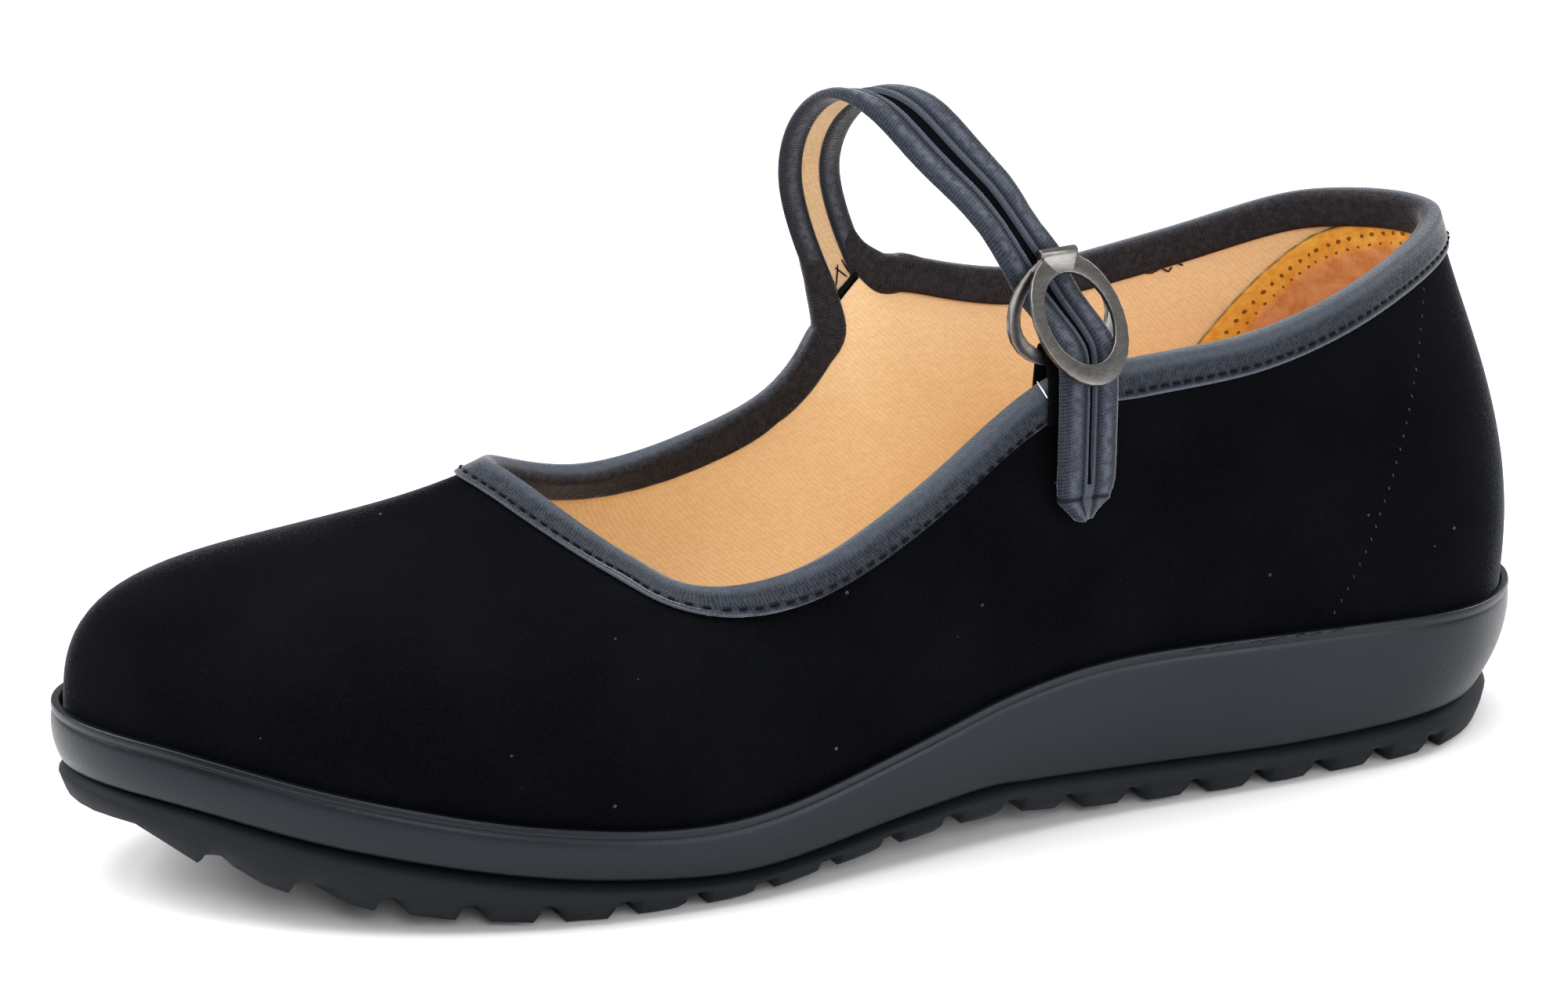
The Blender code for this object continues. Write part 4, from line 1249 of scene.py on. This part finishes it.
def corner_tape(name, strap_stops, wall_stops):
    """Sweep a flat rounded section off the strap and along the wall, and give the piece."""
    middles, inwards = [], []
    for distance, across, _, _ in strap_stops:
        middle, front = on_strap(distance, across, CORNER_OUT)
        middles.append(middle)
        inwards.append(-front)
    for along, depth, _, _ in wall_stops:
        middle, inward = wall_point(root_place + along * MM, depth * MM)
        middles.append(middle)
        inwards.append(inward)
    halves = [stop[2:] for stop in strap_stops + wall_stops]
    path = Path(middles)
    marks = [path.nearest(middle)[0] for middle in middles]
    points, measures = [], []
    for i in range(CORNER_STEPS + 1):
        place = path.length * i / CORNER_STEPS
        k, share = between(marks, place)
        inward = inwards[k].lerp(inwards[k + 1], share)
        width, depth = (low + (high - low) * share for low, high in zip(halves[k], halves[k + 1]))
        run = path.run(place)
        inward = (inward - run * inward.dot(run)).normalized()
        side = inward.cross(run)
        lined = SLATE_UNTIL + (BROWN_FROM - SLATE_UNTIL) * fade(i / CORNER_STEPS, 0, COLOUR_TURNS)
        for j in range(CORNER_SIDES):
            turn = FULL_TURN * j / CORNER_SIDES
            a, b = math.cos(turn), math.sin(turn)
            a, b = (math.copysign(abs(c) ** CORNER_SQUARENESS, c) for c in (a, b))
            spoke = side * (a * width) + inward * (b * depth)
            points.append(path.at(place) + spoke * MM)
            measures.append((place, (lined if b > OUTER_SIDE else OUTER_COLOUR) * MM))
    piece = mesh_piece(name, points, tube_faces(CORNER_STEPS + 1, CORNER_SIDES), tape)
    hold(piece, ("along", "across"), measures)
    return piece


# %% Corner tapes
# In millimetres. On the strap: along it, across it, half the tape's width and half its thickness. On the
# wall: along the topline from the strap's root, below the topline, and the same two halves.
REAR_ON_STRAP = ((13, 3.6, 1.2, 0.6), (8, 3.6, 1.9, 1.0), (3.5, 4.3, 2.4, 1.3))
REAR_ON_WALL = ((8.5, 2.3, 3.3, 2.02), (12.5, 2.2, 3.15, 2.02), (17, 2.1, 2.75, 1.7), (22, 2.1, 2.0, 1.1))
FRONT_ON_STRAP = ((13, -3.6, 1.2, 0.6), (8, -3.6, 1.9, 1.0), (3.0, -3.9, 2.4, 1.3))
FRONT_ON_WALL = (
    (-7.5, 1.8, 2.9, 2.0), (-12, 1.8, 2.85, 2.02), (-17, 1.8, 2.8, 2.02),
    (-22, 1.9, 2.7, 1.9), (-27, 2.0, 2.2, 1.2),
)
root_place, _ = topline.nearest(strap_sections[0][0])
rear_corner = corner_tape("rear_corner_tape", REAR_ON_STRAP, REAR_ON_WALL)
front_corner = corner_tape("front_corner_tape", FRONT_ON_STRAP, FRONT_ON_WALL)
print("corner tapes run", REAR_ON_WALL[-1][0], "and", -FRONT_ON_WALL[-1][0], "mm into the collar")

# %% [markdown]
# Root seam and staple
#
# The strap ends inside the shoe in a thick overlocked seam, and a bright staple left from packing sits by
# the keeper. The seam is a row of dashes that overlap like the turns of the thread. A twisted curve would
# look finer close up, but at this size only the uneven outline shows.

# %% Seam across the strap's root
ROOT_BEADS = 9
SEAM_HALF = 5.0
SEAM_OVERLAP = 1.25

# Along the strap and out of its front, in millimetres, where each dash starts and ends.
BEAD_START = (0.3, -0.75)
BEAD_END = (0.5, -0.8)
rows = []
for i in range(ROOT_BEADS):
    start, front = on_strap(BEAD_START[0], SEAM_HALF * (2 * i / ROOT_BEADS - 1), BEAD_START[1])
    end, _ = on_strap(BEAD_END[0], SEAM_HALF * (2 * (i + SEAM_OVERLAP) / ROOT_BEADS - 1), BEAD_END[1])
    rows.append((start, end, -front, random.uniform(0.42, 0.55) * MM))
dashes("root_seam", rows, thread)

# %% Staple by the keeper
staple_metal = Finish("bright_staple", 0.2, 1.0)
staple_metal.colour(staple_metal.blend(staple_metal.noise(0.5 * MM), rgb(190, 192, 194), rgb(226, 227, 228)))
STAPLE_TOP = Vector((22.4, -30.7, 73.0)) * MM
STAPLE_FOOT = Vector((24.0, -31.3, 70.2)) * MM
STAPLE_WIRE = 0.25 * MM
STAPLE_FRONT = Vector((0, -1, 0))
dashes("keeper_staple", [(STAPLE_TOP, STAPLE_FOOT, STAPLE_FRONT, STAPLE_WIRE)], staple_metal)

# %% [markdown]
# Sole
#
# Wedge and tread are one dark moulding each. Rubber that comes out of a mould is satin, with a soft
# highlight on every rounded edge, and it picks up dull patches from handling. The two differ in gloss: the
# tread is open and dusty. Their meshes are only smoothed, since the real edges are already there.

# %% Rubber finishes
GRAIN_DEPTH = 0.05 * MM


def rubber_finish(name, light, dark, gloss, grain):
    """A moulded rubber with a fine grain and dull patches."""
    rubber = Finish(name, gloss, Specular_IOR_Level=0.3, Specular_Tint=rgb(226, 240, 255))
    patches_seen = rubber.noise(26 * MM, 3)
    fine = rubber.noise(grain, 3)
    rubber.colour(rubber.blend(patches_seen.ramp(0.3, 0.7), dark, light))
    rubber.feed("Roughness", patches_seen * 0.16 + fine * 0.08 + (gloss - 0.12))
    rubber.bump(fine, GRAIN_DEPTH)
    return rubber


sole_rubber = rubber_finish("sole_rubber", rgb(9, 13, 16), rgb(4, 6, 9), 0.38, 0.7 * MM)
tread_rubber = rubber_finish("tread_rubber", rgb(13, 14, 16), rgb(6, 6, 8), 0.75, 0.6 * MM)

# %% Sole pieces
TREAD_FOLD = math.radians(35)
wedge = finer("moulded_wedge", "midsole", 2, FOLDED, 0.8, [sole_rubber])
tread = finer("moulded_tread", "outsole", 1, TREAD_FOLD, 0.8, [tread_rubber])
footbed = finer("twill_footbed", "insole", 2, FOLDED, 0.7, [twill])

# %% [markdown]
# Flash on the lip
#
# Where the lip left its mould a thin flash was torn away, and short ragged tags are left along its lower
# edge. They could be a noise on the lip's edge, but they occur only on one stretch, so each is cast onto
# the wedge from the side and laid as a thin dash of the same rubber.

# %% Flash torn off the lip
# Each tag starts at a place along the shoe and a height, in millimetres, and is cast onto the wedge from
# outside.
CAST_FROM = -60
CAST_WAY = Vector((0, 1, 0))
TAGS = (
    (50.5, 25.7), (53.8, 25.5), (56.6, 25.6), (61.2, 25.5), (63.4, 25.2),
    (65.6, 25.4), (69.6, 25.4), (72.2, 25.1), (76.4, 25.1),
)
wedge_tree = piece_tree(wedge)
rows = []
for x, z in TAGS:
    tag_length = random.uniform(1.2, 2.6)
    start, normal, _, _ = wedge_tree.ray_cast(Vector((x, CAST_FROM, z)) * MM, CAST_WAY)
    far_end = Vector((x + tag_length, CAST_FROM, z + random.uniform(-0.3, 0.25))) * MM
    end, _, _, _ = wedge_tree.ray_cast(far_end, CAST_WAY)
    rows.append((start, end, normal, random.uniform(0.16, 0.28) * MM))
dashes("lip_tags", rows, sole_rubber)
